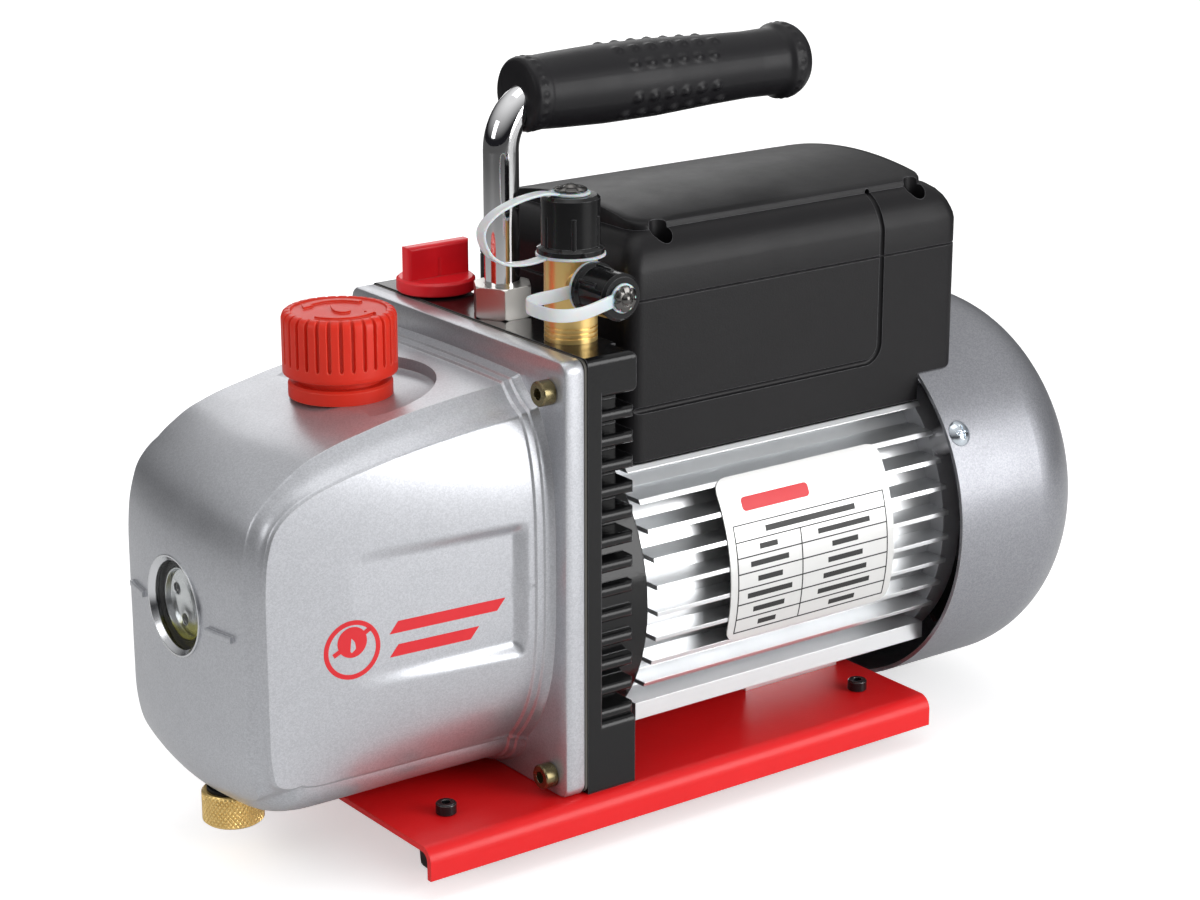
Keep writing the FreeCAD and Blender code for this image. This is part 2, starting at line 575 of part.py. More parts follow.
def side_cap_tether():
    """The same for the side port; its strap loops level towards the oil case."""
    near, far = SIDE_CAP_Y
    z = SIDE_PORT_Z
    inner = ring(8.9, SIDE_NIPPLE_R + 1.2, V(DECK_X, near + 1.3, z), V(DECK_X, near + 0.2, z))
    outer = ring(4.9, 1.4, V(DECK_X, far - 0.1, z), V(DECK_X, far - 1.0, z))
    strap = strap_loop(V(DECK_X - 7.5, near + 0.75, z), V(DECK_X - 3.0, far - 0.55, z),
                       [V(DECK_X - 20.0, near - 0.2, z - 0.6), V(DECK_X - 28.5, near - 5.0, z - 0.8),
                        V(DECK_X - 27.0, far + 2.5, z - 1.2), V(DECK_X - 15.0, far - 0.8, z - 0.8)],
                       Z_AXIS, 4.2, 0.9)
    return fused([inner, outer, strap])


# ---- gas ballast valve --------------------------------------------------------------------------
def ballast_knob():
    """A round base with a full-width blade for finger and thumb."""
    centre = V(DECK_X, BALLAST_Y, FLANGE_TOP)
    base = turned([(2.5 + SEAT, 0.6), (13.6, 0.6), (13.9, 1.0), (13.9, 4.6), (13.0, 5.4), (2.5 + SEAT, 5.4)],
                  centre, Z_AXIS)
    blade = block((DECK_X - 12.8, DECK_X + 12.8), (BALLAST_Y - 2.6, BALLAST_Y + 2.6),
                  (FLANGE_TOP + 4.0, FLANGE_TOP + 17.2))
    blade = blade.makeFillet(1.4, edges_along(blade, Z_AXIS) + edges_along(blade, X_AXIS))
    hole = rod(2.5 + SEAT, centre, centre + V(0, 0, 12.0))
    return base.fuse(blade).cut(hole).removeSplitter()


def ballast_stem():
    """The valve screw that the knob turns: a needle below, a spindle above."""
    centre = V(DECK_X, BALLAST_Y, 0)
    outline = [(0.01, 134.6), (1.0, 134.6), (2.0, 137.0), (5.0, 137.6), (5.0, 151.6), (2.5, 151.6),
               (2.5, 163.4), (0.01, 163.4)]
    return turned(outline, centre, Z_AXIS)


# ---- motor --------------------------------------------------------------------------------------
def motor_housing():
    """Extruded tube with level cooling fins on both sides and two feet under it."""
    tube = rod(MOTOR_CORE_R, on_shaft(MOTOR_X[0]), on_shaft(MOTOR_X[1]))
    tips = rod(FIN_TIP_R, on_shaft(MOTOR_X[0] + 1.5), on_shaft(MOTOR_X[1]))
    fins = []
    for index in range(FIN_COUNT):
        z = FIN_TOP_Z - index * FIN_PITCH
        fin = block(MOTOR_X, (-FIN_TIP_R, FIN_TIP_R), (z - FIN_THICK / 2, z + FIN_THICK / 2))
        fins.append(fin.common(tips))
    last_z = FIN_TOP_Z - (FIN_COUNT - 1) * FIN_PITCH
    lip_y = math.sqrt(FIN_TIP_R ** 2 - (SHAFT_Z - last_z) ** 2)
    lips = [block((MOTOR_X[0] + 1.5, MOTOR_X[1]), (side * lip_y - 1.2, side * lip_y + 1.2),
                  (last_z - 5.5, last_z + FIN_THICK / 2)) for side in (-1, 1)]
    feet = [block((110.0, 154.0), (side * 18.0 - 7.0, side * 18.0 + 7.0), (0, 16.0)) for side in (-1, 1)]
    cuts = [rod(MOTOR_BORE_R, on_shaft(MOTOR_X[0] - 1), on_shaft(MOTOR_X[1] + 1)),
            rod(7.0, V(100.0, 0, 100.0), V(100.0, 0, 120.0))]
    cuts += [rod(3.0 + THREAD_GAP, place + V(0, 0, -1), place + V(0, 0, 11.5))
             for place in bolt_places()[2:]]
    return less(fused([tube] + fins + lips + feet), cuts)


def slot_bar(width, low_r, high_r, x):
    return block(x, (-width / 2, width / 2), (SHAFT_Z + low_r, SHAFT_Z + high_r))


def stator_core():
    core = ring(MOTOR_BORE_R - SEAT, STATOR_BORE_R, on_shaft(STACK_X[0]), on_shaft(STACK_X[1]))
    mouth = slot_bar(2.0, STATOR_BORE_R - 2, 32.0, (STACK_X[0] - 1, STACK_X[1] + 1))
    slot = slot_bar(4.4, 30.0, 41.0, (STACK_X[0] - 1, STACK_X[1] + 1))
    return less(core, around(slot.fuse(mouth), SLOT_COUNT, on_shaft(0), X_AXIS))


def stator_windings():
    """Two bundled end turns joined by the coil sides that lie in the slots."""
    coil = slot_bar(4.0, 30.4, 40.6, (STACK_X[0] - 6, STACK_X[1] + 6))
    pieces = around(coil, SLOT_COUNT, on_shaft(0), X_AXIS)
    for inner_x, outer_x in ((STACK_X[0] - 1.0, STACK_X[0] - 15.0), (STACK_X[1] + 1.0, STACK_X[1] + 15.0)):
        bundle = Part.makeTorus(36.0, 6.6, on_shaft((inner_x + outer_x) / 2), X_AXIS)
        pieces.append(bundle)
    return fused(pieces)


def motor_rotor():
    """Squirrel cage: laminated drum with an end ring and stub fins at both ends."""
    inner_r = 9.0 + SEAT
    parts = [ring(STATOR_BORE_R - 0.5, inner_r, on_shaft(STACK_X[0]), on_shaft(STACK_X[1]))]
    for face_x, out in ((STACK_X[0], -1), (STACK_X[1], 1)):
        parts.append(ring(25.0, 17.0, on_shaft(face_x), on_shaft(face_x + out * 7.0)))
        stub_x = sorted((face_x + out * 6.0, face_x + out * 14.0))
        stub = block(stub_x, (-1.5, 1.5), (SHAFT_Z + 18.0, SHAFT_Z + 24.0))
        parts += around(stub, 8, on_shaft(0), X_AXIS)
    return fused(parts)


def motor_shaft():
    """Stepped shaft from the coupling tongue, through both bearings, to the fan."""
    steps = [(SHAFT_R - SEAT, FRONT_BEARING_X - 0.6, FRONT_BEARING_X + BEARING_WIDE),
             (9.0, FRONT_BEARING_X + BEARING_WIDE, REAR_BEARING_X),
             (SHAFT_R - SEAT, REAR_BEARING_X, REAR_BEARING_X + BEARING_WIDE),
             (6.0, REAR_BEARING_X + BEARING_WIDE, FAN_X[1])]
    parts = [rod(radius, on_shaft(start), on_shaft(end)) for radius, start, end in steps]
    parts.append(block((22.8, FRONT_BEARING_X), (-2.0, 2.0), (SHAFT_Z - 6.5, SHAFT_Z + 6.5)))
    return fused(parts)


def ball_bearing(x):
    """A closed deep-groove bearing: inner ring, outer ring and shields as one ring."""
    outer = ring(BEARING_R, 13.6, on_shaft(x), on_shaft(x + BEARING_WIDE))
    inner = ring(11.2, SHAFT_R, on_shaft(x), on_shaft(x + BEARING_WIDE))
    shield = ring(13.6, 11.2, on_shaft(x + 0.8), on_shaft(x + BEARING_WIDE - 0.8))
    return fused([outer, inner, shield])


def shaft_bearings():
    return Part.makeCompound([ball_bearing(FRONT_BEARING_X), ball_bearing(REAR_BEARING_X)])


def radial(angle):
    """The outward direction at an angle about the shaft, counted from +Y towards +Z."""
    return V(0, math.cos(math.radians(angle)), math.sin(math.radians(angle)))


def rear_end_shield():
    """Cast cover of the motor with the bearing hub, spokes and lugs for the fan cover's screws."""
    spigot = ring(MOTOR_BORE_R - SEAT, 42.0, on_shaft(MOTOR_X[1] - 6.0), on_shaft(MOTOR_X[1] + 2.0))
    rim = ring(61.0, 42.0, on_shaft(MOTOR_X[1]), on_shaft(MOTOR_X[1] + 8.0))
    web = rod(44.0, on_shaft(MOTOR_X[1] + 3.0), on_shaft(MOTOR_X[1] + 7.0))
    hub = rod(22.0, on_shaft(REAR_BEARING_X - 1.0), on_shaft(MOTOR_X[1] + 9.0))
    lugs = []
    for angle in COVER_SCREW_ANGLES:
        start = on_shaft(COVER_SCREW_X) + radial(angle) * 48.0
        end = on_shaft(COVER_SCREW_X) + radial(angle) * (COVER_R - COVER_SHEET - 0.3)
        lugs.append(rod(5.2, start, end).common(rod(COVER_R, on_shaft(MOTOR_X[1]), on_shaft(185.0))))
    cuts = [rod(BEARING_R + SEAT, on_shaft(REAR_BEARING_X), on_shaft(REAR_BEARING_X + BEARING_WIDE)),
            rod(10.0, on_shaft(REAR_BEARING_X - 2.0), on_shaft(MOTOR_X[1] + 10.0))]
    for angle in COVER_SCREW_ANGLES:
        start = on_shaft(COVER_SCREW_X) + radial(angle) * 58.0
        cuts.append(rod(2.0 + THREAD_GAP, start, start + radial(angle) * 20.0))
    window = block((MOTOR_X[1], MOTOR_X[1] + 12.0), (-6.0, 6.0), (SHAFT_Z + 27.0, SHAFT_Z + 38.0))
    cuts += around(window, 6, on_shaft(0), X_AXIS, 30.0)
    return less(fused([spigot, rim, web, hub] + lugs), cuts)


def cooling_fan():
    """Plastic radial fan: hub, back plate and straight blades."""
    hub = rod(13.0, on_shaft(FAN_X[0] - 2.0), on_shaft(FAN_X[1]))
    plate = rod(40.0, on_shaft(FAN_X[0]), on_shaft(FAN_X[0] + 2.0))
    blade = block(FAN_X, (-1.1, 1.1), (SHAFT_Z + 10.0, SHAFT_Z + FAN_R))
    fan = fused([hub, plate] + around(blade, 8, on_shaft(0), X_AXIS))
    return fan.cut(rod(6.0 + SEAT, on_shaft(FAN_X[0] - 5.0), on_shaft(FAN_X[1] + 1)))


def cover_solid(inset):
    """The filled drum of the fan cover, or its inside when inset is the sheet."""
    drum = rod(COVER_R - inset, on_shaft(COVER_RIM_X), on_shaft(REAR_X - inset))
    rim = [edge for edge in drum.Edges if edge.CenterOfMass.x > REAR_X - inset - 0.01 and edge.Closed]
    return drum.makeFillet(COVER_CORNER - inset, rim)


def fan_cover():
    shell = cover_solid(0.0).cut(cover_solid(COVER_SHEET))
    openings = []
    for row in range(1, 6):
        out = V(0, 0, 7.4 * row)
        hole = rod(2.4, on_shaft(REAR_X - 5.0) + out, on_shaft(REAR_X + 1) + out)
        openings += around(hole, 6 * row, on_shaft(0), X_AXIS)
    for angle in COVER_SCREW_ANGLES:
        centre = on_shaft(COVER_SCREW_X) + radial(angle) * 60.0
        hole = rod(2.3, centre, centre + radial(angle) * 20.0)
        openings.append(hole)
    return less(shell, openings)


def fan_cover_screws():
    screws = []
    for angle in COVER_SCREW_ANGLES:
        seat = on_shaft(COVER_SCREW_X) + radial(angle) * (COVER_R + 0.02)
        screws.append(pan_screw(seat, radial(angle) * -1, 2.0, 9.5, 4.8, 2.5))
    return Part.makeCompound(screws)


def nameplate():
    """A printed foil label bent over the fin tips."""
    low_z, high_z, start_x, end_x = 39.4, 96.6, 70.0, 144.8
    skin = ring(FIN_TIP_R + 0.6, FIN_TIP_R + 0.1, on_shaft(start_x), on_shaft(end_x))
    window = block((start_x, end_x), (-FIN_TIP_R - 2, 0), (low_z, high_z))
    window = window.makeFillet(5.0, edges_along(window, Y_AXIS))
    return skin.common(window)


# ---- terminal box -------------------------------------------------------------------------------
def box_outline(half, low_z, high_z, x, corner):
    shape = block(x, (-half, half), (low_z, high_z))
    return shape.makeFillet(corner, edges_along(shape, Z_AXIS))


def terminal_box():
    """Lower half of the box: saddled over the motor and notched over the fan cover."""
    outer = box_outline(BOX_HALF, BOX_Z, SEAM_Z, BOX_X, 6.0)
    inner_x = (BOX_X[0] + BOX_WALL, BOX_X[1] - BOX_WALL)
    inner = box_outline(BOX_HALF - BOX_WALL, BOX_Z + BOX_WALL, SEAM_Z + 1, inner_x, 4.0)
    floor = rod(MOTOR_CORE_R + BOX_WALL + 0.6, on_shaft(BOX_X[0]), on_shaft(COVER_RIM_X + 1)).fuse(
        rod(COVER_R + BOX_WALL + 0.6, on_shaft(COVER_RIM_X - 3.0), on_shaft(BOX_X[1])))
    clear = [rod(MOTOR_CORE_R + 0.3, on_shaft(0), on_shaft(200.0)),
             rod(COVER_R + 0.3, on_shaft(COVER_RIM_X - 0.5), on_shaft(200.0)),
             rod(6.0, V(100.0, 0, 100.0), V(100.0, 0, 125.0)), inlet_opening(), switch_opening()]
    clear += [rod(1.6, place, place + V(0, 0, -12.0)) for place in lid_screw_places()]
    posts = []
    for place in lid_screw_places():
        side = math.copysign(1.0, place.y)
        post_y = sorted((place.y - side * 3.5, side * (BOX_HALF - 1.0)))
        posts.append(block((place.x - 3.5, place.x + 3.5), post_y, (138.0, SEAM_Z)))
    return less(fused([outer.cut(inner.cut(floor))] + posts), clear)


def slab_wire(x, half, z, corner):
    """A level rectangle with rounded corners, as a wire."""
    slab = block(x, (-half, half), (z - 1.0, z))
    slab = slab.makeFillet(corner, edges_along(slab, Z_AXIS))
    top = max(slab.Faces, key=lambda face: face.CenterOfMass.z)
    return top.OuterWire


def lid_solid(inset):
    """Upright skirt, a shoulder that curves in on all four sides, and a raised crowned plate."""
    drop = LEDGE_Z - SHOULDER_Z
    levels = [(0.0, SEAM_Z), (0.0, SHOULDER_Z), (1.0, SHOULDER_Z + drop * 0.3),
              (3.2, SHOULDER_Z + drop * 0.62), (8.2, LEDGE_Z)]
    wires = []
    for inward, z in levels:
        step = inward + inset
        level = z - (inset if z > SEAM_Z else 0.0)
        wires.append(slab_wire((BOX_X[0] + step, BOX_X[1] - step), BOX_HALF - step, level, 6.0 - inset / 2))
    shoulders = Part.makeLoft(wires, True, True)
    step = 8.8 + inset
    plate = block((BOX_X[0] + step - 2.0, BOX_X[1] - step + 2.0), (-BOX_HALF + step, BOX_HALF - step),
                  (SEAM_Z + 1.0, LID_TOP_Z + 2.0))
    plate = plate.makeChamfer(6.0, edges_along(plate, Z_AXIS))
    edge_half, rise = BOX_HALF - 8.8, LID_TOP_Z - LEDGE_Z - 2.2
    crown_r = (edge_half ** 2 + rise ** 2) / (2 * rise)
    crown_z = LID_TOP_Z - inset - crown_r
    crown = rod(crown_r, V(BOX_X[0], 0, crown_z), V(BOX_X[1], 0, crown_z))
    return fused([shoulders, plate.common(crown)])


def lid_screw_places():
    """The four screws stand in recesses cut into the lid's shoulders."""
    return [V(x, y, SEAM_Z) for x in (58.5, 173.0) for y in (-38.5, 38.5)]


def terminal_box_lid():
    shell = lid_solid(0.0).cut(lid_solid(BOX_WALL))
    posts = [rod(5.6, place, place + V(0, 0, 20.0)).common(lid_solid(0.1)) for place in lid_screw_places()]
    cuts = [rod(4.0, place + V(0, 0, 12.0), place + V(0, 0, 40.0)) for place in lid_screw_places()]
    cuts += [rod(2.0, place + V(0, 0, -1.0), place + V(0, 0, 30.0)) for place in lid_screw_places()]
    return less(fused([shell] + posts), cuts)


def lid_screws():
    return Part.makeCompound([pan_screw(place + V(0, 0, 12.02), -Z_AXIS, 1.55, 21.0, 3.5, 2.0)
                              for place in lid_screw_places()])


def start_capacitor():
    """A round capacitor lying along the box, with two tabs."""
    can = rod(18.0, V(66.0, -14.0, 142.0), V(146.0, -14.0, 142.0))
    can = can.makeFillet(2.0, [edge for edge in can.Edges if edge.Closed])
    tabs = [block((146.0, 154.0), (y - 3.2, y + 3.2), (141.6, 142.4)) for y in (-20.0, -8.0)]
    return fused([can] + tabs)


def socket_block(x, y, half, shrink=0.0):
    """A block centred on a fitting of the rear wall, with half sizes across and up."""
    across, up = half[0] - shrink, half[1] - shrink
    return block(x, (y - across, y + across), (SOCKET_Z - up, SOCKET_Z + up))


def inlet_opening():
    return socket_block((BOX_X[1] - 5.0, BOX_X[1] + 1.0), INLET_Y, INLET_HALF)


def switch_opening():
    return socket_block((BOX_X[1] - 5.0, BOX_X[1] + 1.0), SWITCH_Y, SWITCH_HALF)


def power_inlet():
    """Recessed three-pin appliance inlet."""
    face = BOX_X[1]
    body = socket_block((face - 16.0, face + 0.2), INLET_Y, INLET_HALF, 0.1)
    rim = socket_block((face + 0.02, face + 2.0), INLET_Y, (16.0, 12.0))
    rim = rim.makeFillet(2.5, edges_along(rim, X_AXIS))
    well_half = (11.6, 8.0)
    well = socket_block((face - 14.0, face + 3.0), INLET_Y, well_half)
    left = V(face - 14.0, INLET_Y - well_half[0], SOCKET_Z)
    right = V(face - 14.0, INLET_Y + well_half[0], SOCKET_Z)
    up, low = V(0, 0, well_half[1]), V(0, 0, well_half[1] / 2)
    bevel = prism([left + up, right + up, right + low, left + low], V(17.0, 0, 0))
    pins = []
    for y, z in ((-7.0, -2.5), (0.0, 1.5), (7.0, -2.5)):
        pin = block((face - 15.0, face - 3.0), (-1.0, 1.0), (-2.0, 2.0))
        pins.append(pin.translated(V(0, INLET_Y + y, SOCKET_Z + z)))
    return fused([body.fuse(rim).cut(well.fuse(bevel))] + pins)


def power_switch():
    """Snap-in switch frame with the cradle that the rocker turns in."""
    face = BOX_X[1]
    body = socket_block((face - 15.0, face + 0.2), SWITCH_Y, SWITCH_HALF, 0.1)
    rim = socket_block((face + 0.02, face + 2.0), SWITCH_Y, (12.5, 8.8))
    rim = rim.makeFillet(1.5, edges_along(rim, X_AXIS))
    well = socket_block((face - 9.5, face + 3.0), SWITCH_Y, (9.4, 6.0))
    pivot = V(face - 3.0, SWITCH_Y, SOCKET_Z)
    pins = [rod(1.4, pivot + V(0, 0, side * 6.5), pivot + V(0, 0, side * 4.8)) for side in (-1, 1)]
    return fused([body.fuse(rim).cut(well)] + pins)


def switch_rocker():
    """A see-saw key that tilts about an axis parallel to Z; one end stands proud at rest."""
    face = BOX_X[1]
    pivot = V(face - 3.0, SWITCH_Y, SOCKET_Z)
    reach = 8.9
    points = [pivot + V(3.0, -reach, 0), pivot + V(2.2, 0, 0), pivot + V(3.0, reach, 0),
              pivot + V(-1.0, reach - 0.8, 0), pivot + V(-4.0, 0, 0), pivot + V(-1.0, -reach + 0.8, 0)]
    key = prism([point + V(0, 0, -5.6) for point in points], V(0, 0, 11.2))
    key = key.cut(rod(1.4 + RUN, pivot + V(0, 0, -7), pivot + V(0, 0, 7)))
    key.rotate(pivot, Z_AXIS, 8.0)
    return key


# ---- vane pump inside the oil case --------------------------------------------------------------
def stage_cylinder(x):
    """A pumping ring: its chamber lies lower than the shaft, with an outlet drilling at the top."""
    body = rod(CARTRIDGE_R, V(x[0], 0, CHAMBER_Z), V(x[1], 0, CHAMBER_Z))
    crown = block(x, (-16.0, 16.0), (CHAMBER_Z + 20.0, CHAMBER_Z + 44.0))
    middle = (x[0] + x[1]) / 2
    outlet = rod(2.0, V(middle, 9.0, CHAMBER_Z + 20.0), V(middle, 9.0, CHAMBER_Z + 50.0))
    chamber = rod(CHAMBER_R, V(x[0], 0, CHAMBER_Z), V(x[1], 0, CHAMBER_Z))
    return body.fuse(crown).removeSplitter().cut(chamber.fuse(outlet))


def first_stage_cylinder():
    back = STAGE1_X[1]
    inlet = rod(3.5, V(back + 1, -22.0, 46.0), V(back - 6.0, -22.0, 46.0))
    return stage_cylinder(STAGE1_X).cut(inlet)


def second_stage_cylinder():
    return stage_cylinder(STAGE2_X)


def stage_plates():
    """The plate between the stages and the end plate, each with a bearing for the rotor."""
    plates = []
    for x, journal in (((STAGE2_X[1], STAGE1_X[0]), 12.0), ((END_PLATE_X, STAGE2_X[0]), 10.0)):
        disc = rod(CARTRIDGE_R, V(x[0], 0, CHAMBER_Z), V(x[1], 0, CHAMBER_Z))
        plates.append(disc.cut(rod(journal + RUN, on_shaft(x[0] - 1), on_shaft(x[1] + 1))))
    transfer = rod(2.5, V(STAGE2_X[1] - 1, 20.0, CHAMBER_Z + 8.0), V(STAGE1_X[0] + 1, 20.0, CHAMBER_Z + 8.0))
    return Part.makeCompound([plates[0].cut(transfer), plates[1]])


def pump_rotor():
    """One forged rotor: a slotted drum for each stage, journals between them, a tongue at the back."""
    parts = [rod(ROTOR_R, on_shaft(STAGE1_X[0] + RUN), on_shaft(STAGE1_X[1] - RUN)),
             rod(12.0, on_shaft(STAGE2_X[1] - 1.0), on_shaft(STAGE1_X[0] + 1.0)),
             rod(ROTOR_R, on_shaft(STAGE2_X[0] + RUN), on_shaft(STAGE2_X[1] - RUN)),
             rod(10.0, on_shaft(END_PLATE_X + 1.0), on_shaft(STAGE2_X[0] + 1.0)),
             rod(9.0, on_shaft(STAGE1_X[1] - 1.0), on_shaft(19.6)),
             block((19.0, 22.0), (-6.5, 6.5), (SHAFT_Z - 2.0, SHAFT_Z + 2.0))]
    slot_half = VANE_THICK / 2 + RUN
    slot_z = (SHAFT_Z - slot_half, SHAFT_Z + slot_half)
    slots = [block((x[0] + RUN, x[1] - RUN), (-ROTOR_R - 1, ROTOR_R + 1), slot_z)
             for x in (STAGE1_X, STAGE2_X)]
    return less(fused(parts), slots)


def vane(x, side):
    """A flat carbon vane at one end of the rotor slot, its outer edge rounded to the rotor."""
    outer = ROTOR_R - 0.05
    ends = sorted((side * (outer - VANE_DEEP), side * outer))
    gap = 2 * RUN
    blade = block((x[0] + gap, x[1] - gap), ends, (SHAFT_Z - VANE_THICK / 2, SHAFT_Z + VANE_THICK / 2))
    return blade.common(rod(outer, on_shaft(x[0]), on_shaft(x[1])))


def coil_spring(x, radius, wire, length, turns):
    """A helical spring along Y, centred on the shaft axis."""
    helix = Part.makeHelix(length / turns, length, radius)
    section = Part.Wire(Part.makeCircle(wire, V(radius, 0, 0), Y_AXIS))
    spring = Part.Wire(helix.Edges).makePipeShell([section], True, True)
    spring.rotate(V(0, 0, 0), X_AXIS, -90)
    spring.translate(V(x, -length / 2, SHAFT_Z))
    return spring


def vane_springs():
    """The springs between each pair of vanes."""
    length = 2 * (ROTOR_R - VANE_DEEP) - 1.2
    stations = [STAGE1_X[0] + 8.0, STAGE1_X[1] - 8.0, (STAGE2_X[0] + STAGE2_X[1]) / 2]
    return Part.makeCompound([coil_spring(x, 1.4, 0.25, length, 8) for x in stations])


def discharge_valve():
    """A thin flap over the outlet of the second stage, inside the oil."""
    top = CHAMBER_Z + 44.0
    middle = (STAGE2_X[0] + STAGE2_X[1]) / 2
    flap = block((middle - 5.0, middle + 5.0), (2.0, 15.0), (top + 0.05, top + 0.85))
    return flap.makeFillet(2.0, edges_along(flap, Z_AXIS))


def shaft_coupling():
    """A disc with a slot on each face, crossed, that joins the rotor's tongue to the shaft's."""
    disc = rod(11.0, on_shaft(19.8), on_shaft(24.6))
    front = block((19.0, 22.1), (-12.0, 12.0), (SHAFT_Z - 2.1, SHAFT_Z + 2.1))
    back = block((22.7, 25.0), (-2.1, 2.1), (SHAFT_Z - 12.0, SHAFT_Z + 12.0))
    return disc.cut(front).cut(back)


def shaft_seal():
    outline = [(9.0 + RUN, 12.0), (15.0, 12.0), (15.0, 19.0), (13.4, 19.0), (13.4, 13.4), (11.0, 13.4),
               (10.2, 17.4), (9.0 + RUN, 17.4)]
    return turned(outline, on_shaft(0), X_AXIS)


# ---- write every part ---------------------------------------------------------------------------
def build_all():
    top_base = V(DECK_X, INTAKE_Y, TOP_CAP_Z[0])
    top_length = TOP_CAP_Z[1] - TOP_CAP_Z[0]
    side_base = V(DECK_X, SIDE_CAP_Y[0], SIDE_PORT_Z)
    side_length = SIDE_CAP_Y[0] - SIDE_CAP_Y[1]
    outward = V(0, -1, 0)
    makers = {
        "base_plate": base_plate, "rubber_feet": rubber_feet, "foot_screws": foot_screws,
        "foot_nuts": foot_nuts, "body_bolts": body_bolts, "pump_body": pump_body,
        "case_gasket": case_gasket, "oil_case": oil_case, "case_screws": case_screws,
        "sight_glass_lens": sight_glass_lens, "sight_glass_ring": sight_glass_ring,
        "sight_glass_seal": sight_glass_seal, "filler_collar": filler_collar, "filler_seal": filler_seal,
        "oil_fill_cap": oil_fill_cap, "drain_plug": drain_plug, "drain_seal": drain_seal,
        "handle_tube": handle_tube, "handle_nut": handle_nut, "handle_grip": handle_grip,
        "intake_fitting": intake_fitting, "intake_screen": intake_screen,
        "top_port_cap": lambda: port_cap(top_base, Z_AXIS, top_length, 9.8, 11.2, TOP_NIPPLE_R),
        "top_cap_rivet": lambda: cap_rivet(top_base, Z_AXIS, top_length, 5.6),
        "top_cap_tether": top_cap_tether,
        "side_port_cap": lambda: port_cap(side_base, outward, side_length, 7.9, 8.9, SIDE_NIPPLE_R),
        "side_cap_rivet": lambda: cap_rivet(side_base, outward, side_length, 4.4),
        "side_cap_tether": side_cap_tether,
        "ballast_knob": ballast_knob, "ballast_stem": ballast_stem,
        "motor_housing": motor_housing, "stator_core": stator_core, "stator_windings": stator_windings,
        "motor_rotor": motor_rotor, "motor_shaft": motor_shaft, "shaft_bearings": shaft_bearings,
        "rear_end_shield": rear_end_shield, "cooling_fan": cooling_fan, "fan_cover": fan_cover,
        "fan_cover_screws": fan_cover_screws, "nameplate": nameplate,
        "terminal_box": terminal_box, "terminal_box_lid": terminal_box_lid, "lid_screws": lid_screws,
        "start_capacitor": start_capacitor, "power_inlet": power_inlet, "power_switch": power_switch,
        "switch_rocker": switch_rocker,
        "first_stage_cylinder": first_stage_cylinder, "second_stage_cylinder": second_stage_cylinder,
        "stage_plates": stage_plates, "pump_rotor": pump_rotor,
        "first_stage_vane_near": lambda: vane(STAGE1_X, -1),
        "first_stage_vane_far": lambda: vane(STAGE1_X, 1),
        "second_stage_vane_near": lambda: vane(STAGE2_X, -1),
        "second_stage_vane_far": lambda: vane(STAGE2_X, 1),
        "vane_springs": vane_springs, "discharge_valve": discharge_valve,
        "shaft_coupling": shaft_coupling, "shaft_seal": shaft_seal,
    }
    os.makedirs("parts", exist_ok=True)
    for name, make in makers.items():
        write(name, make())


build_all()
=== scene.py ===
"""The looks of a two-stage rotary vane vacuum pump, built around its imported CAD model.

Lengths in this script are millimetres. Places are counted as in the pump's own drawing: X from the
front of the oil case's flange towards the fan cover, Y from the middle plane (the nameplate is on
the -Y side) and Z from the top of the base plate. metres() turns them into the frame's metres.
"""

import json
import math

import bmesh
import bpy
import numpy as np
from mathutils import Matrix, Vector


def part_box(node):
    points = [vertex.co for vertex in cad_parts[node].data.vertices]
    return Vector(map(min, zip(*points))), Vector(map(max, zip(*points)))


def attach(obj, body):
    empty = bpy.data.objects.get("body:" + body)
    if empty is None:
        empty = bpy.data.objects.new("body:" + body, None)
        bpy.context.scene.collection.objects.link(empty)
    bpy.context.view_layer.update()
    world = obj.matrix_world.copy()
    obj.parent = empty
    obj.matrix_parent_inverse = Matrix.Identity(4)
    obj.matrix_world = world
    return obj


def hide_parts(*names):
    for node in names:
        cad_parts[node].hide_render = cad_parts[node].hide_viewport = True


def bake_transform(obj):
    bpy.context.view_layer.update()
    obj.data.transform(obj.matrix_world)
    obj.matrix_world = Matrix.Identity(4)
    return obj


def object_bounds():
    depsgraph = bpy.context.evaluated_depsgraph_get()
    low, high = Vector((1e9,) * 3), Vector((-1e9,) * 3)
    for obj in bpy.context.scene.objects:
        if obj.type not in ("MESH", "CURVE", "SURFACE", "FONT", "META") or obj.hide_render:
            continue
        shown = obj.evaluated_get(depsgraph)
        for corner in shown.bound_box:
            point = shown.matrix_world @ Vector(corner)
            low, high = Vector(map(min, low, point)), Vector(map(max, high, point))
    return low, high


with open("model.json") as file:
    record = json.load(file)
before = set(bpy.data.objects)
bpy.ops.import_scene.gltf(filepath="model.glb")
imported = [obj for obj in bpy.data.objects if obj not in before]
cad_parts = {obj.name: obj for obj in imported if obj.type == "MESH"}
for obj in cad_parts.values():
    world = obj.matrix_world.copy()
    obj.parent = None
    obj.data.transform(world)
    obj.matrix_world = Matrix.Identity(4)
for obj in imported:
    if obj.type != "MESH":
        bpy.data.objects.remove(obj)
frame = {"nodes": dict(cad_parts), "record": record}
cad_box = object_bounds()

MM = 0.001
FLANGE = 8.0                                    # thickness of the oil case's flange
ORIGIN = np.array([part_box("oil_case")[1].x - FLANGE * MM, 0.0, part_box("base_plate")[1].z])


# ---- places taken from the frame ----
def extent(node):
    """Lowest and highest corner of a CAD node, in this script's millimetres."""
    low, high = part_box(node)
    return (np.array(low) - ORIGIN) / MM, (np.array(high) - ORIGIN) / MM


def centre(node):
    low, high = extent(node)
    return (low + high) / 2


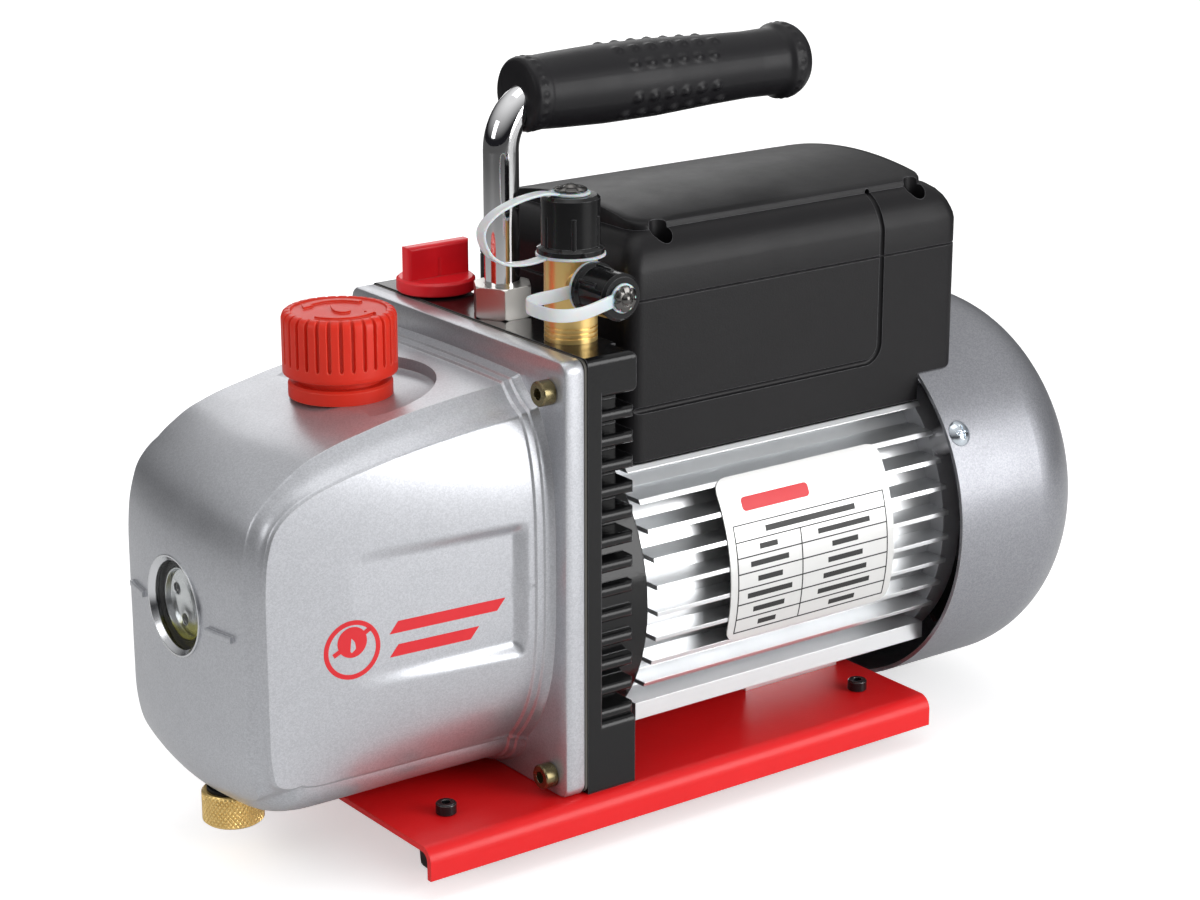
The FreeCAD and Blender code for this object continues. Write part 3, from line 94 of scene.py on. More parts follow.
SHAFT_Z = centre("fan_cover")[2]
CASE_FRONT = extent("oil_case")[0][0]
FLANGE_HALF = extent("oil_case")[1][1]
FLANGE_TOP = extent("oil_case")[1][2]
GLASS_Z = centre("sight_glass_ring")[2]
GLASS_R = (extent("sight_glass_ring")[1][1] - extent("sight_glass_ring")[0][1]) / 2
FILL_X = centre("oil_fill_cap")[0]
DRAIN_X = centre("drain_plug")[0]
DECK_X = centre("handle_nut")[0]


UP, AHEAD, OUTWARD = (0, 0, 1), (1, 0, 0), (0, -1, 0)      # outward on the nameplate's side


def metres(points):
    return np.asarray(points, float) * MM + ORIGIN


# ---- mesh building ----
def smooth(value):
    """A soft step from 0 to 1."""
    value = np.clip(value, 0.0, 1.0)
    return value * value * (3 - 2 * value)


def full_turn(count):
    """Even angles once around."""
    return np.linspace(0, 2 * math.pi, count, endpoint=False)


def heading(angle):
    return np.array([math.cos(angle), math.sin(angle)])


def placed(name, data):
    """A new object in the scene for a mesh, a lamp or a camera."""
    made = bpy.data.objects.new(name, data)
    bpy.context.scene.collection.objects.link(made)
    return made


def mesh_object(name, points, faces, merge=0.002):
    """A closed mesh object with its faces turned outwards; points closer than merge are joined."""
    mesh = bpy.data.meshes.new(name)
    mesh.from_pydata(metres(points).tolist(), [], faces)
    shape = bmesh.new()
    shape.from_mesh(mesh)
    bmesh.ops.remove_doubles(shape, verts=shape.verts, dist=merge * MM)
    bmesh.ops.dissolve_degenerate(shape, edges=shape.edges, dist=merge * MM / 4)
    bmesh.ops.recalc_face_normals(shape, faces=shape.faces)
    shape.to_mesh(mesh)
    shape.free()
    return placed(name, mesh)


def loft(name, loops, closed_tube=False):
    """A solid through a row of closed loops that all have the same number of points."""
    loops = [np.asarray(loop, float) for loop in loops]
    count = len(loops[0])
    points = np.concatenate(loops)
    rows = len(loops) if closed_tube else len(loops) - 1
    faces = []
    for row in range(rows):
        here, there = row * count, (row + 1) % len(loops) * count
        for i in range(count):
            j = (i + 1) % count
            faces.append((here + i, here + j, there + j, there + i))
    if not closed_tube:
        faces.append(tuple(range(count)))
        faces.append(tuple(range(len(points) - count, len(points))))
    return mesh_object(name, points, faces)


def axes_across(axis):
    """Two unit vectors square to an axis and to one another."""
    axis = np.asarray(axis, float)
    helper = np.array([0.0, 0.0, 1.0]) if abs(axis[2]) < 0.9 else np.array([1.0, 0.0, 0.0])
    first = np.cross(helper, axis)
    first /= np.linalg.norm(first)
    return first, np.cross(axis, first)


def turned_loops(outline, base, axis, segments, radius=lambda r, height, angle: r):
    """Rings of an outline of (radius, height) about an axis; radius() may shape them by angle."""
    angle = full_turn(segments)
    first, second = axes_across(axis)
    rings = []
    for r, height in outline:
        shaped = radius(r, height, angle) * np.ones(segments)
        ring = np.outer(shaped * np.cos(angle), first) + np.outer(shaped * np.sin(angle), second)
        rings.append(np.asarray(base, float) + np.asarray(axis, float) * height + ring)
    return rings


def turned(name, outline, base, axis, segments=96, **more):
    return loft(name, turned_loops(outline, base, axis, segments, **more))


def turned_ring(name, outline, base, axis, segments):
    """A ring, from an outline that closes on itself."""
    return loft(name, turned_loops(outline, base, axis, segments), closed_tube=True)


def spline(points, step):
    """A smooth curve through points (Catmull-Rom), sampled at even steps."""
    points = np.asarray(points, float)
    padded = np.concatenate([[2 * points[0] - points[1]], points, [2 * points[-1] - points[-2]]])
    fine = []
    for i in range(1, len(padded) - 2):
        before, here, there, after = padded[i - 1:i + 3]
        for t in np.linspace(0, 1, 24, endpoint=False):
            square = 2 * before - 5 * here + 4 * there - after
            cube = 3 * here - before - 3 * there + after
            fine.append(0.5 * (2 * here + (there - before) * t + square * t**2 + cube * t**3))
    fine.append(points[-1])
    fine = np.array(fine)
    along = np.concatenate([[0.0], np.cumsum(np.linalg.norm(np.diff(fine, axis=0), axis=1))])
    count = max(2, int(round(along[-1] / step)) + 1)
    places = np.linspace(0, along[-1], count)
    return np.stack([np.interp(places, along, fine[:, axis]) for axis in range(fine.shape[1])], axis=1)


def swept(name, path, section, across):
    """A bar along a path; section is a closed outline of (side, out) and across is the side direction."""
    path = np.asarray(path, float)
    across = np.asarray(across, float)
    ahead = np.gradient(path, axis=0)
    ahead /= np.linalg.norm(ahead, axis=1)[:, None]
    loops = []
    for point, direction in zip(path, ahead):
        side = across - direction * direction.dot(across)
        side /= np.linalg.norm(side)
        out = np.cross(direction, side)
        loops.append([point + side * a + out * b for a, b in section])
    return loft(name, loops)


def circle(radius, count):
    angle = full_turn(count)
    return np.column_stack([radius * np.cos(angle), radius * np.sin(angle)])


def rounded_outline(low, high, corner, corner_steps=8, side_steps=1):
    """A rectangle with rounded corners, as points between two corners of a plane."""
    low, high = np.asarray(low, float), np.asarray(high, float)
    points = []
    for index, (right, up) in enumerate(((1, 1), (0, 1), (0, 0), (1, 0))):
        middle = np.array([(high[0] - corner) if right else (low[0] + corner),
                           (high[1] - corner) if up else (low[1] + corner)])
        for i in range(corner_steps + 1):
            points.append(middle + corner * heading(math.pi / 2 * (index + i / corner_steps)))
    if side_steps == 1:
        return np.array(points)
    divided = []
    for index, point in enumerate(points):
        following = points[(index + 1) % len(points)]
        steps = side_steps if (index + 1) % (corner_steps + 1) == 0 else 1
        divided += [point + (following - point) * i / steps for i in range(steps)]
    return np.array(divided)


def slab_loop(low, high, inset, level, corner, side_steps=1):
    """A level rectangle with rounded corners; level may depend on Y."""
    flat = rounded_outline(np.array(low) + inset, np.array(high) - inset, corner, 8, side_steps)
    height = level(flat[:, 1]) if callable(level) else np.full(len(flat), float(level))
    return np.column_stack([flat, height])


def rounded_block(name, low, high, corner, edge, axis):
    """A block whose corners along one axis are rounded, with a small round on its end faces."""
    others = [i for i in range(3) if i != axis]
    ends = [(low[axis], edge), (low[axis] + edge * 0.3, edge * 0.3), (low[axis] + edge, 0.0),
            (high[axis] - edge, 0.0), (high[axis] - edge * 0.3, edge * 0.3), (high[axis], edge)]
    rings = []
    for level, inset in ends:
        flat = rounded_outline([low[i] + inset for i in others], [high[i] - inset for i in others], corner)
        ring = np.zeros((len(flat), 3))
        ring[:, axis] = level
        ring[:, others] = flat
        rings.append(ring)
    return loft(name, rings)


def joined(name, parts):
    """Several mesh objects as one."""
    shape = bmesh.new()
    for part in parts:
        shape.from_mesh(part.data)
        bpy.data.objects.remove(part)
    mesh = bpy.data.meshes.new(name)
    shape.to_mesh(mesh)
    shape.free()
    return placed(name, mesh)


def carve(target, cutter, operation="DIFFERENCE"):
    """Cuts one mesh with another, or joins them with operation UNION."""
    cut = target.modifiers.new("carve", "BOOLEAN")
    cut.object = cutter
    cut.operation = operation
    cut.solver = "EXACT"
    settled = bpy.data.meshes.new_from_object(target.evaluated_get(bpy.context.evaluated_depsgraph_get()))
    target.modifiers.clear()
    target.data = settled
    bpy.data.objects.remove(cutter)
    return target


def finished(made, look, body, *nodes, slot=None, sharp=38.0):
    """Gives a mesh its finish and its body, and hides the CAD nodes it stands for."""
    made.data.materials.clear()
    made.data.materials.append(finishes[look])
    made.data.shade_smooth()
    made.data.set_sharp_from_angle(angle=math.radians(sharp))
    if body:
        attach(made, body)
    if nodes:
        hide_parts(*nodes)
    return made


# ---- materials ----
class Shader:
    """The nodes of a material or of the world, built one by one."""

    def __init__(self, owner, output="ShaderNodeOutputMaterial"):
        owner.use_nodes = True
        self.tree = owner.node_tree
        self.tree.nodes.clear()
        self.output = self.add(output)

    def add(self, kind, settings=None, **inputs):
        """A node; an input may be a value or another node's output."""
        node = self.tree.nodes.new(kind)
        for key, value in (settings or {}).items():
            setattr(node, key, value)
        for key, value in inputs.items():
            self.set(node, key.replace("_", " "), value)
        return node

    def set(self, node, key, value):
        socket = node.inputs[int(key[1:])] if key[1:].isdigit() else node.inputs[key]
        if isinstance(value, bpy.types.NodeSocket):
            self.tree.links.new(value, socket)
        elif isinstance(value, tuple) and len(value) == 3 and socket.type == "RGBA":
            socket.default_value = (*value, 1.0)
        else:
            socket.default_value = value

    def maths(self, operation, first, second=0.5, third=0.5, clamp=False):
        node = self.add("ShaderNodeMath", {"operation": operation, "use_clamp": clamp})
        for index, value in enumerate((first, second, third)):
            self.set(node, f"i{index}", value)
        return node.outputs[0]

    def noise(self, where, size, detail=2.0, roughness=0.5):
        """Noise whose patches are size millimetres across."""
        node = self.add("ShaderNodeTexNoise", Vector=where, Scale=1.0 / (size * MM), Detail=detail,
                        Roughness=roughness)
        return node.outputs["Fac"]

    def between(self, factor, low, high):
        """A value that goes from low to high as factor goes from 0 to 1."""
        node = self.add("ShaderNodeMapRange", i0=factor, i3=low, i4=high)
        return node.outputs[0]

    def mix(self, factor, first, second, blend="MIX"):
        node = self.add("ShaderNodeMix", {"data_type": "RGBA", "blend_type": blend})
        self.set(node, "i0", factor)
        self.set(node, "i6", first)
        self.set(node, "i7", second)
        return node.outputs[2]


def shade(colour, amount):
    """A colour made darker or lighter by a share of itself."""
    return tuple(min(1.0, part * (1 + amount)) for part in colour)


def flakes_and_sparkle(shader, place, tone, speckle, size):
    """A tone with the light and dark flakes of a metallic paint, size millimetres across; the light flakes
    are painted sparkle.
    """
    flakes = shader.add("ShaderNodeTexVoronoi", Vector=place, Scale=1.0 / (size * MM))
    flake = shader.add("ShaderNodeSeparateColor", Color=flakes.outputs["Color"]).outputs[0]
    # painted sparkle: light flakes lift the tone towards white; the dark flakes are random tone
    tone = shader.mix(shader.between(flake, 0.0, speckle), tone, (1.0, 1.0, 1.0), "ADD")
    return shader.mix(shader.between(flake, speckle * 0.9, 0.0), tone, (0.0, 0.0, 0.0))


def tinted_below(shader, place, tone, colour, low_z, high_z):
    """A tone that changes to another colour below a height in metres."""
    height = shader.add("ShaderNodeSeparateXYZ", Vector=place).outputs[2]
    share = shader.add("ShaderNodeMapRange", i0=height, i1=high_z, i2=low_z, i3=0.0, i4=1.0).outputs[0]
    return shader.mix(share, tone, colour)


def worn(shader, place, tone, metal, wear, radius):
    """Tone and metalness with ragged patches of what lies under the finish, along edges."""
    broad = shader.add("ShaderNodeBevel", {"samples": 4}, Radius=radius * MM).outputs[0]
    true = shader.add("ShaderNodeNewGeometry").outputs["Normal"]
    aligned = shader.add("ShaderNodeVectorMath", {"operation": "DOT_PRODUCT"}, i0=broad, i1=true)
    edge = shader.maths("SUBTRACT", 1.0, aligned.outputs["Value"])
    patchy = shader.noise(place, 2.5, 4.0, 0.7)
    ragged = shader.maths("MULTIPLY", edge, shader.between(patchy, -1.0, 9.0), clamp=True)
    wear_colour, wear_metal = wear
    return shader.mix(ragged, tone, wear_colour), shader.between(ragged, metal, wear_metal)


finishes = {}


def finish(name, colour, rough, metal=0.0, patch=18.0, spread=0.08, grain=0.6, bump=0.02, stretch=(1, 1, 1),
           speckle=0.0, speckle_size=0.45, coat=0.0, wear=None, wear_radius=0.5, soften=0.35, through=0.0,
           milky=0.0, lower=None, gloss=0.5, bend=1.45):
    """One procedural finish, kept in finishes under its name.

    patch and spread give the drifting colour, grain and bump (both in mm) the surface relief, stretch
    draws the relief out along the short axes, speckle is the flake of a metallic paint with painted sparkle
    in its light flakes, wear is the colour and metalness that show along worn edges, soften rounds sharp
    edges in the light, through and milky let light in, lower is a second colour below a height, gloss the
    share of mirrored light and bend the glass index.
    """
    material = bpy.data.materials.new(name)
    shader = Shader(material)
    place = shader.add("ShaderNodeTexCoord").outputs["Object"]
    drift = shader.noise(place, patch, 4.0, 0.6)
    tone = shader.mix(drift, shade(colour, -spread), shade(colour, spread))
    if speckle:
        tone = flakes_and_sparkle(shader, place, tone, speckle, speckle_size)
    if lower:
        tone = tinted_below(shader, place, tone, *lower)
    smudge = shader.noise(place, patch * 0.7, 5.0, 0.65)
    roughness = shader.between(smudge, rough * 0.8, rough * 1.2)
    stretched = shader.add("ShaderNodeMapping", Vector=place, Scale=stretch).outputs[0]
    relief = shader.noise(stretched, grain, 3.0, 0.55)
    rounded = shader.add("ShaderNodeBevel", {"samples": 4}, Radius=soften * MM).outputs[0]
    bumped = shader.add("ShaderNodeBump", Strength=1.0, Distance=bump * MM, Height=relief, Normal=rounded)
    if wear:
        tone, metal = worn(shader, place, tone, metal, wear, wear_radius)
    body = shader.add("ShaderNodeBsdfPrincipled", Base_Color=tone, Metallic=metal, Roughness=roughness,
                      Normal=bumped.outputs[0], Coat_Weight=coat, Coat_Roughness=0.15,
                      Transmission_Weight=through, Subsurface_Weight=milky, Subsurface_Scale=2.0 * MM,
                      Specular_IOR_Level=gloss, IOR=bend)
    shader.set(shader.output, "Surface", body.outputs[0])
    finishes[name] = material


BARE_STEEL = ((0.62, 0.61, 0.60), 1.0)
BARE_ALLOY = ((0.80, 0.80, 0.81), 1.0)
DULLED = ((0.16, 0.16, 0.17), 0.0)
ALONG_X, ABOUT_Z = (0.02, 1, 1), (0.05, 0.05, 1)     # relief drawn out as by extruding and by turning


def make_paints():
    finish("case_paint", (0.49, 0.50, 0.53), 0.38, 0.75, spread=0.02, grain=0.8, bump=0.010, speckle=0.07,
           speckle_size=0.42, coat=0.2, wear=BARE_ALLOY, wear_radius=0.3)
    finish("cover_paint", (0.27, 0.275, 0.30), 0.38, 0.7, spread=0.03, grain=0.8, bump=0.010, speckle=0.06,
           coat=0.2, wear=BARE_ALLOY, wear_radius=0.3)
    finish("body_paint", (0.006, 0.006, 0.0065), 0.16, grain=1.8, bump=0.05, gloss=0.36, spread=0.3,
           wear=DULLED, wear_radius=0.4, soften=0.7)
    finish("base_powder", (0.74, 0.011, 0.013), 0.34, grain=1.1, bump=0.04, spread=0.06, gloss=0.35,
           wear=((0.62, 0.06, 0.05), 0.0), soften=0.5)
    finish("black_ink", (0.02, 0.02, 0.02), 0.45, grain=0.5, bump=0.002, soften=0.02)
    finish("red_ink", (0.66, 0.012, 0.02), 0.40, grain=0.5, bump=0.002, soften=0.02)


def make_plastics():
    finish("box_plastic", (0.0085, 0.008, 0.009), 0.40, bump=0.05, spread=0.18, gloss=0.25, wear=DULLED,
           wear_radius=0.35)
    finish("black_plastic", (0.006, 0.006, 0.0065), 0.17, grain=1.2, bump=0.01, spread=0.3, gloss=0.4,
           wear=DULLED, wear_radius=0.2, soften=0.3)
    finish("socket_plastic", (0.014, 0.014, 0.015), 0.34, bump=0.015)
    finish("rocker_plastic", (0.020, 0.020, 0.022), 0.24, grain=0.8, bump=0.01)
    finish("cap_red", (0.70, 0.026, 0.010), 0.40, grain=0.5, bump=0.012, spread=0.05, gloss=0.36,
           wear=((0.86, 0.13, 0.08), 0.0), milky=0.12)
    finish("knob_red", (0.84, 0.014, 0.024), 0.30, grain=0.5, bump=0.008, spread=0.05,
           wear=((0.70, 0.06, 0.06), 0.0), milky=0.1, soften=0.5)
    finish("fan_plastic", (0.02, 0.02, 0.022), 0.4, grain=0.7, bump=0.015)
    finish("strap_plastic", (0.86, 0.89, 0.92), 0.30, grain=1.5, bump=0.01, spread=0.03, through=0.35,
           milky=0.55)
    finish("capacitor_can", (0.03, 0.03, 0.035), 0.3, grain=0.8, bump=0.01)


def make_metals():
    finish("aluminium_fins", (0.80, 0.81, 0.82), 0.30, 0.9, grain=0.35, bump=0.012, stretch=ALONG_X,
           spread=0.05, wear=BARE_ALLOY)
    finish("aluminium_cast", (0.58, 0.58, 0.60), 0.45, 0.9, grain=0.9, bump=0.04)
    finish("brass", (0.95, 0.66, 0.25), 0.30, 0.8, grain=0.25, bump=0.006, stretch=ABOUT_Z, spread=0.07,
           soften=0.2)
    finish("chrome", (0.88, 0.88, 0.89), 0.05, 1.0, grain=2.0, bump=0.001, spread=0.02)
    finish("nickel", (0.62, 0.60, 0.57), 0.30, 1.0, grain=0.8, bump=0.015, wear=((0.8, 0.78, 0.75), 1.0))
    finish("rivet", (0.13, 0.125, 0.12), 0.24, 1.0, patch=3.0, grain=0.5, bump=0.01)
    finish("zinc_screw", (0.66, 0.72, 0.78), 0.20, 1.0, patch=3.0, grain=0.5, bump=0.01)
    finish("black_screw", (0.018, 0.018, 0.02), 0.24, 0.4, grain=0.5, bump=0.01, wear=BARE_STEEL,
           wear_radius=0.2, soften=0.25)
    finish("bronze_screw", (0.20, 0.165, 0.085), 0.28, 0.9, patch=4.0, grain=0.5, bump=0.012, spread=0.2,
           wear=((0.45, 0.40, 0.28), 1.0), wear_radius=0.25)
    finish("steel", (0.50, 0.49, 0.48), 0.28, 1.0, grain=0.3, bump=0.006, stretch=ALONG_X)
    finish("lamination", (0.30, 0.30, 0.31), 0.4, 0.9, grain=0.5, stretch=(1, 0.05, 0.05))
    finish("copper", (0.55, 0.21, 0.09), 0.3, 0.9, grain=0.9, bump=0.15, coat=0.5)
    finish("iron", (0.22, 0.22, 0.22), 0.5, 0.9, grain=1.0, bump=0.05)
    finish("mirror_ring", (0.68, 0.69, 0.71), 0.20, 1.0, grain=0.25, bump=0.004)
    finish("foil", (0.69, 0.69, 0.68), 0.30, 0.30, grain=0.5, bump=0.004, spread=0.03, coat=0.3, soften=0.05)


def make_rubber_and_glass():
    finish("carbon", (0.045, 0.045, 0.05), 0.55, grain=0.4)
    finish("rubber_grip", (0.010, 0.0095, 0.011), 0.42, grain=0.35, spread=0.15, gloss=0.28, soften=0.3)
    finish("rubber_foot", (0.016, 0.016, 0.016), 0.62, bump=0.03)
    finish("rubber_seal", (0.006, 0.006, 0.006), 0.40, grain=0.8, bump=0.015, gloss=0.12)
    finish("gasket", (0.10, 0.095, 0.085), 0.75, grain=0.5, bump=0.05, spread=0.2)
    low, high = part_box("sight_glass_lens")
    oil_z = low.z + (high.z - low.z) * 0.24
    finish("glass", (0.97, 0.98, 0.97), 0.01, grain=6.0, bump=0.001, spread=0.01, through=1.0,
           lower=((0.56, 0.53, 0.12), oil_z - 0.0006, oil_z + 0.0006), gloss=0.2, bend=1.12)


make_paints()
make_plastics()
make_metals()
make_rubber_and_glass()


def dress_cad_nodes():
    """Every carried-over CAD node takes the finish of its own slot."""
    for part in frame["record"]["subparts"]:
        node = frame["nodes"][part["node"]]
        node.data.materials.clear()
        node.data.materials.append(finishes[part["material_slot"]])


dress_cad_nodes()

# ---- oil case ----
CASE_REAR = -6.5                      # where the case's bulged body meets its stepped collar
CASE_TOP, CASE_BOTTOM = 141.0, 2.6    # on the middle plane, at the flange and under the belly
CREASE_Y = 37.5                       # half width of the hood that wraps over the top and the front
BAND = 8.1                            # depth of the sloping band between the hood and a side panel
TOP_CROWN, FRONT_CROWN = 0.4, 4.4     # how far the hood falls from its middle to the crease
LIP = 0.9                             # height of the panel's edge above the band
PANEL_FOCUS = (CASE_REAR, 76.0)       # X and Z of the point that the side panel's rows run to
WELL_FLOOR_X = CASE_FRONT + 7.5       # floor of the sight glass well
WELL_DRILLINGS = ((8.0, GLASS_Z + 2.5), (3.5, GLASS_Z - 7.0))    # through that floor, as (y, z)
WELL_R, FILLER_BORE, DRAIN_BORE = 12.0, 12.06, 6.06
SPOT_FACE_Z = extent("filler_collar")[1][2] - 4.9


def hood_profile():
    """The case on its middle plane, as (x, z), from the flange over the top and front to the flange."""
    top = [(CASE_REAR, CASE_TOP), (-27, 139.2), (-47, 136.7), (-62, 134.0), (-76, 130.9)]
    brow = [(-87.5, 127.2), (-97.5, 121.8), (-104.6, 114.2), (-108.2, 104.5), (-109.7, 93)]
    face = [(CASE_FRONT, 79), (CASE_FRONT, 58), (CASE_FRONT, 44), (-109.7, 32)]
    chin = [(-107.5, 20.8), (-102.8, 12.2), (-96.0, 7.0), (-87.5, 4.7), (-76, 4.1)]
    floor = [(-45, 3.6), (CASE_REAR, CASE_BOTTOM)]
    return spline(top + brow + face + chin + floor, 1.7)


def panel_half(x, z):
    """Half width of the side panel: slightly bulged, wider towards the flange."""
    off = np.minimum(np.abs(z - 80.0), 62.0)
    at_flange = 56.8 - 5.7e-4 * off**2 - 1.0e-6 * off**4
    share = (x - CASE_FRONT - 8.0) / (-CASE_FRONT - 8.0)
    return 44.3 + share * (at_flange - 44.3)


def panel_pocket(x, z):
    """Depth of the wedge-shaped pocket in the side panel: deep at the flange end, fading forward."""
    depth = 3.2 * np.clip((x + 72.0) / 60.0, 0, 1)
    return depth * smooth((-8.5 - x) / 4.0) * smooth((98.5 - z) / 4.5) * smooth((z - 51.0) / 5.5)


def hood_rows(crease, crown, under):
    """Y and depth below the profile of the rows over the hood, which is crowned except underneath."""
    shares = np.concatenate([np.linspace(0, 0.97, 40), [0.985, 1.0]])
    return [(crease * share, crown * share**2 * (1 - under)) for share in shares]


def band_rows(crease, crown, band, under, reach):
    """The same for the band that is reach wide: a bulged slope, and a quarter round underneath."""
    bulge = 0.9
    rows = []
    for share in np.linspace(0, 1, 15)[1:]:
        quarter = math.pi / 2 * share
        slope = crown + (band - crown) * share + bulge * math.sin(math.pi * share)
        y = crease + reach * (share * (1 - under) + math.sin(quarter) * under)
        rows.append((y, slope * (1 - under) + band * (1 - math.cos(quarter)) * under))
    return rows


def case_side():
    """Rows of points over the +Y side of the case, from the middle plane to the panel's focus."""
    profile = hood_profile()
    step = np.gradient(profile, axis=0)
    step /= np.linalg.norm(step, axis=1)[:, None]
    inward = np.stack([-step[:, 1], step[:, 0]], axis=1)
    under = smooth((inward[:, 1] - 0.4) / 0.6)
    crown = TOP_CROWN + (FRONT_CROWN - TOP_CROWN) * smooth((inward[:, 0] - 0.1) / 0.5)
    to_flange = np.clip((profile[:, 0] + 90.0) / 83.5, 0, 1)
    band = BAND + (7.6 - 2.2 * to_flange) * smooth((inward[:, 1] - 0.22) / 0.5)
    crease = CREASE_Y - 27.0 * under
    edge = profile + inward * band[:, None]
    reach = panel_half(edge[:, 0], edge[:, 1]) - LIP - crease

    rows = hood_rows(crease, crown, under) + band_rows(crease, crown, band, under, reach)
    rows = [(y, profile + inward * depth[:, None]) for y, depth in rows]
    for share in (0.35, 0.7, 1.0):
        lip = profile + inward * (band + LIP * share)[:, None]
        rows.append((panel_half(lip[:, 0], lip[:, 1]) - LIP * (1 - share), lip))
    rim = rows[-1][1]
    for share in np.linspace(0, 1, 80)[1:]:
        flat = rim + (np.array(PANEL_FOCUS) - rim) * share
        rows.append((panel_half(flat[:, 0], flat[:, 1]) - panel_pocket(flat[:, 0], flat[:, 1]), flat))
    return np.stack([np.stack([flat[:, 0], y, flat[:, 1]], axis=1) for y, flat in rows])


def case_body():
    """The bulged body with its stepped collar, closed inside the flange."""
    right = case_side()
    left = right[1:][::-1] * np.array([1.0, -1.0, 1.0])
    grid = np.concatenate([left, right])
    rows, columns = grid.shape[:2]
    points = [grid.reshape(-1, 3)]
    faces = []
    for r in range(rows - 1):
        for c in range(columns - 1):
            a = r * columns + c
            faces.append((a, a + 1, a + columns + 1, a + columns))
    rear = np.concatenate([grid[:, 0], grid[::-1, -1]])
    away = rear[:, 1:] - np.array([0.0, PANEL_FOCUS[1]])
    away /= np.linalg.norm(away, axis=1)[:, None]
    start = rows * columns
    collar = [(CASE_REAR, 0.0), (-5.9, 0.9), (-3.7, 1.15), (-3.2, 2.0), (-1.2, 2.25), (-0.4, 2.9), (1.0, 3.1)]
    for index, (x, out) in enumerate(collar):
        ring = np.column_stack([np.full(len(rear), x), rear[:, 1:] + away * out])
        points.append(ring)
        for i in range(len(rear)):
            j = (i + 1) % len(rear)
            here = start + index * len(rear)
            if index:
                faces.append((here - len(rear) + i, here - len(rear) + j, here + j, here + i))
    faces.append(tuple(range(here, here + len(rear))))
    return mesh_object("oil_case_shell", np.concatenate(points), faces)


def case_cavity():
    """The hollow of the case, as a plain closed shape with softly squared sections."""
    angle = full_turn(64)
    side = np.abs(np.cos(angle)) ** 0.55 * np.sign(np.cos(angle))
    rise = np.abs(np.sin(angle)) ** 0.55 * np.sign(np.sin(angle))
    loops = []
    for x, low, high, half in ((FLANGE + 1, 10, 133, 48), (-6, 10, 132, 47), (-45, 12, 128, 43),
                               (-72, 15, 118, 40), (-90, 24, 98, 36), (-96, 34, 88, 33)):
        ring = [np.full(len(angle), float(x)), half * side, (low + high) / 2 + (high - low) / 2 * rise]
        loops.append(np.column_stack(ring))
    return loft("cavity", loops)


def level_bar(side):
    """A raised bar on the case's front that marks the oil level beside the sight glass."""
    proud, below_middle = 0.6, 2.2
    path = [(CASE_FRONT - proud + FRONT_CROWN * (y / CREASE_Y) ** 2, side * y, GLASS_Z - below_middle)
            for y in np.linspace(20.8, 33.0, 12)]
    return swept("level_bar", path, rounded_outline((-1.1, -0.9), (1.1, 0.9), 0.4, 4), UP)


def screw_holes():
    """The four holes through the flange."""
    low, high = extent("case_screws")
    head, hole = 4.25, 2.8
    return [turned("hole", [(hole, -2.0), (hole, FLANGE + 2)], (0, y, z), AHEAD, 32)
            for y in (low[1] + head, high[1] - head) for z in (low[2] + head, high[2] - head)]


def well_drillings(back, ahead):
    """The two drillings in the floor of the sight glass well."""
    radius = 2.0
    return joined("cutters", [turned("drilling", [(radius, back), (radius, ahead)], (WELL_FLOOR_X, y, z),
                                     AHEAD, 32) for y, z in WELL_DRILLINGS])


def build_oil_case():
    case = case_body()
    flange = rounded_block("flange", (0.0, -FLANGE_HALF, 0.0), (FLANGE, FLANGE_HALF, FLANGE_TOP), 4.0, 1.1, 0)
    carve(case, flange, "UNION")
    for side in (-1, 1):
        carve(case, level_bar(side), "UNION")
    seat = extent("sight_glass_seal")[1][0] - CASE_FRONT + 0.1
    glass_bore, well_depth = GLASS_R + 0.02, WELL_FLOOR_X - CASE_FRONT
    well = turned("well", [(glass_bore, -6.0), (glass_bore, seat), (WELL_R, seat), (WELL_R, well_depth)],
                  (CASE_FRONT, 0, GLASS_Z), AHEAD)
    filler = turned("filler", [(FILLER_BORE, -18.0), (FILLER_BORE, 0.0), (30.0, 0.0), (31.5, 0.9),
                               (31.5, 25.0)], (FILL_X, 0, SPOT_FACE_Z), UP)
    drain_place = (DRAIN_X, 0, extent("drain_seal")[1][2] + 0.02)
    drain = turned("drain", [(11.4, -12.0), (11.4, 0.0), (DRAIN_BORE, 0.0), (DRAIN_BORE, 14.0)], drain_place,
                   UP, 64)
    holes = screw_holes()
    hollow = case_cavity()
    carve(hollow, turned("boss", [(13.5, -12.0), (13.5, 10.0)], drain_place, UP, 64))
    carve(case, hollow)
    carve(case, joined("cutters", [well, filler, drain] + holes))
    carve(case, well_drillings(-1.0, 10.0))
    case.name = "oil_case_casting"
    finished(case, "case_paint", "pump_base", "oil_case")


def build_well_cup():
    """The bright turned lining of the well behind the glass, with the two drillings through its floor."""
    depth = WELL_FLOOR_X - CASE_FRONT - 0.05
    start = extent("sight_glass_seal")[0][0] - CASE_FRONT + 0.2
    outline = [(11.95, start), (11.95, depth), (0.3, depth), (0.3, depth - 0.35), (4.0, depth - 0.35),
               (4.4, depth - 0.6), (9.6, depth - 0.6), (11.2, depth - 1.2), (11.5, start)]
    cup = turned_ring("well_cup", outline, (CASE_FRONT, 0, GLASS_Z), AHEAD, 96)
    carve(cup, well_drillings(-3.0, 3.0))
    finished(cup, "mirror_ring", "pump_base")


# ---- emblem ----
def on_panel(flat, lift):
    """Places on the near side panel for (x, z) points, lift millimetres above its surface."""
    flat = np.asarray(flat, float)
    y = panel_half(flat[:, 0], flat[:, 1]) - panel_pocket(flat[:, 0], flat[:, 1]) + lift
    return np.column_stack([flat[:, 0], -y, flat[:, 1]])


def panel_print(outline, hole=None):
    """A thin printed patch on the side panel; hole makes it a band."""
    if hole is None:
        return loft("patch", [on_panel(outline, -0.4), on_panel(outline, 0.08)])
    return loft("band", [on_panel(outline, -0.4), on_panel(outline, 0.08), on_panel(hole, 0.08),
                         on_panel(hole, -0.4)], closed_tube=True)


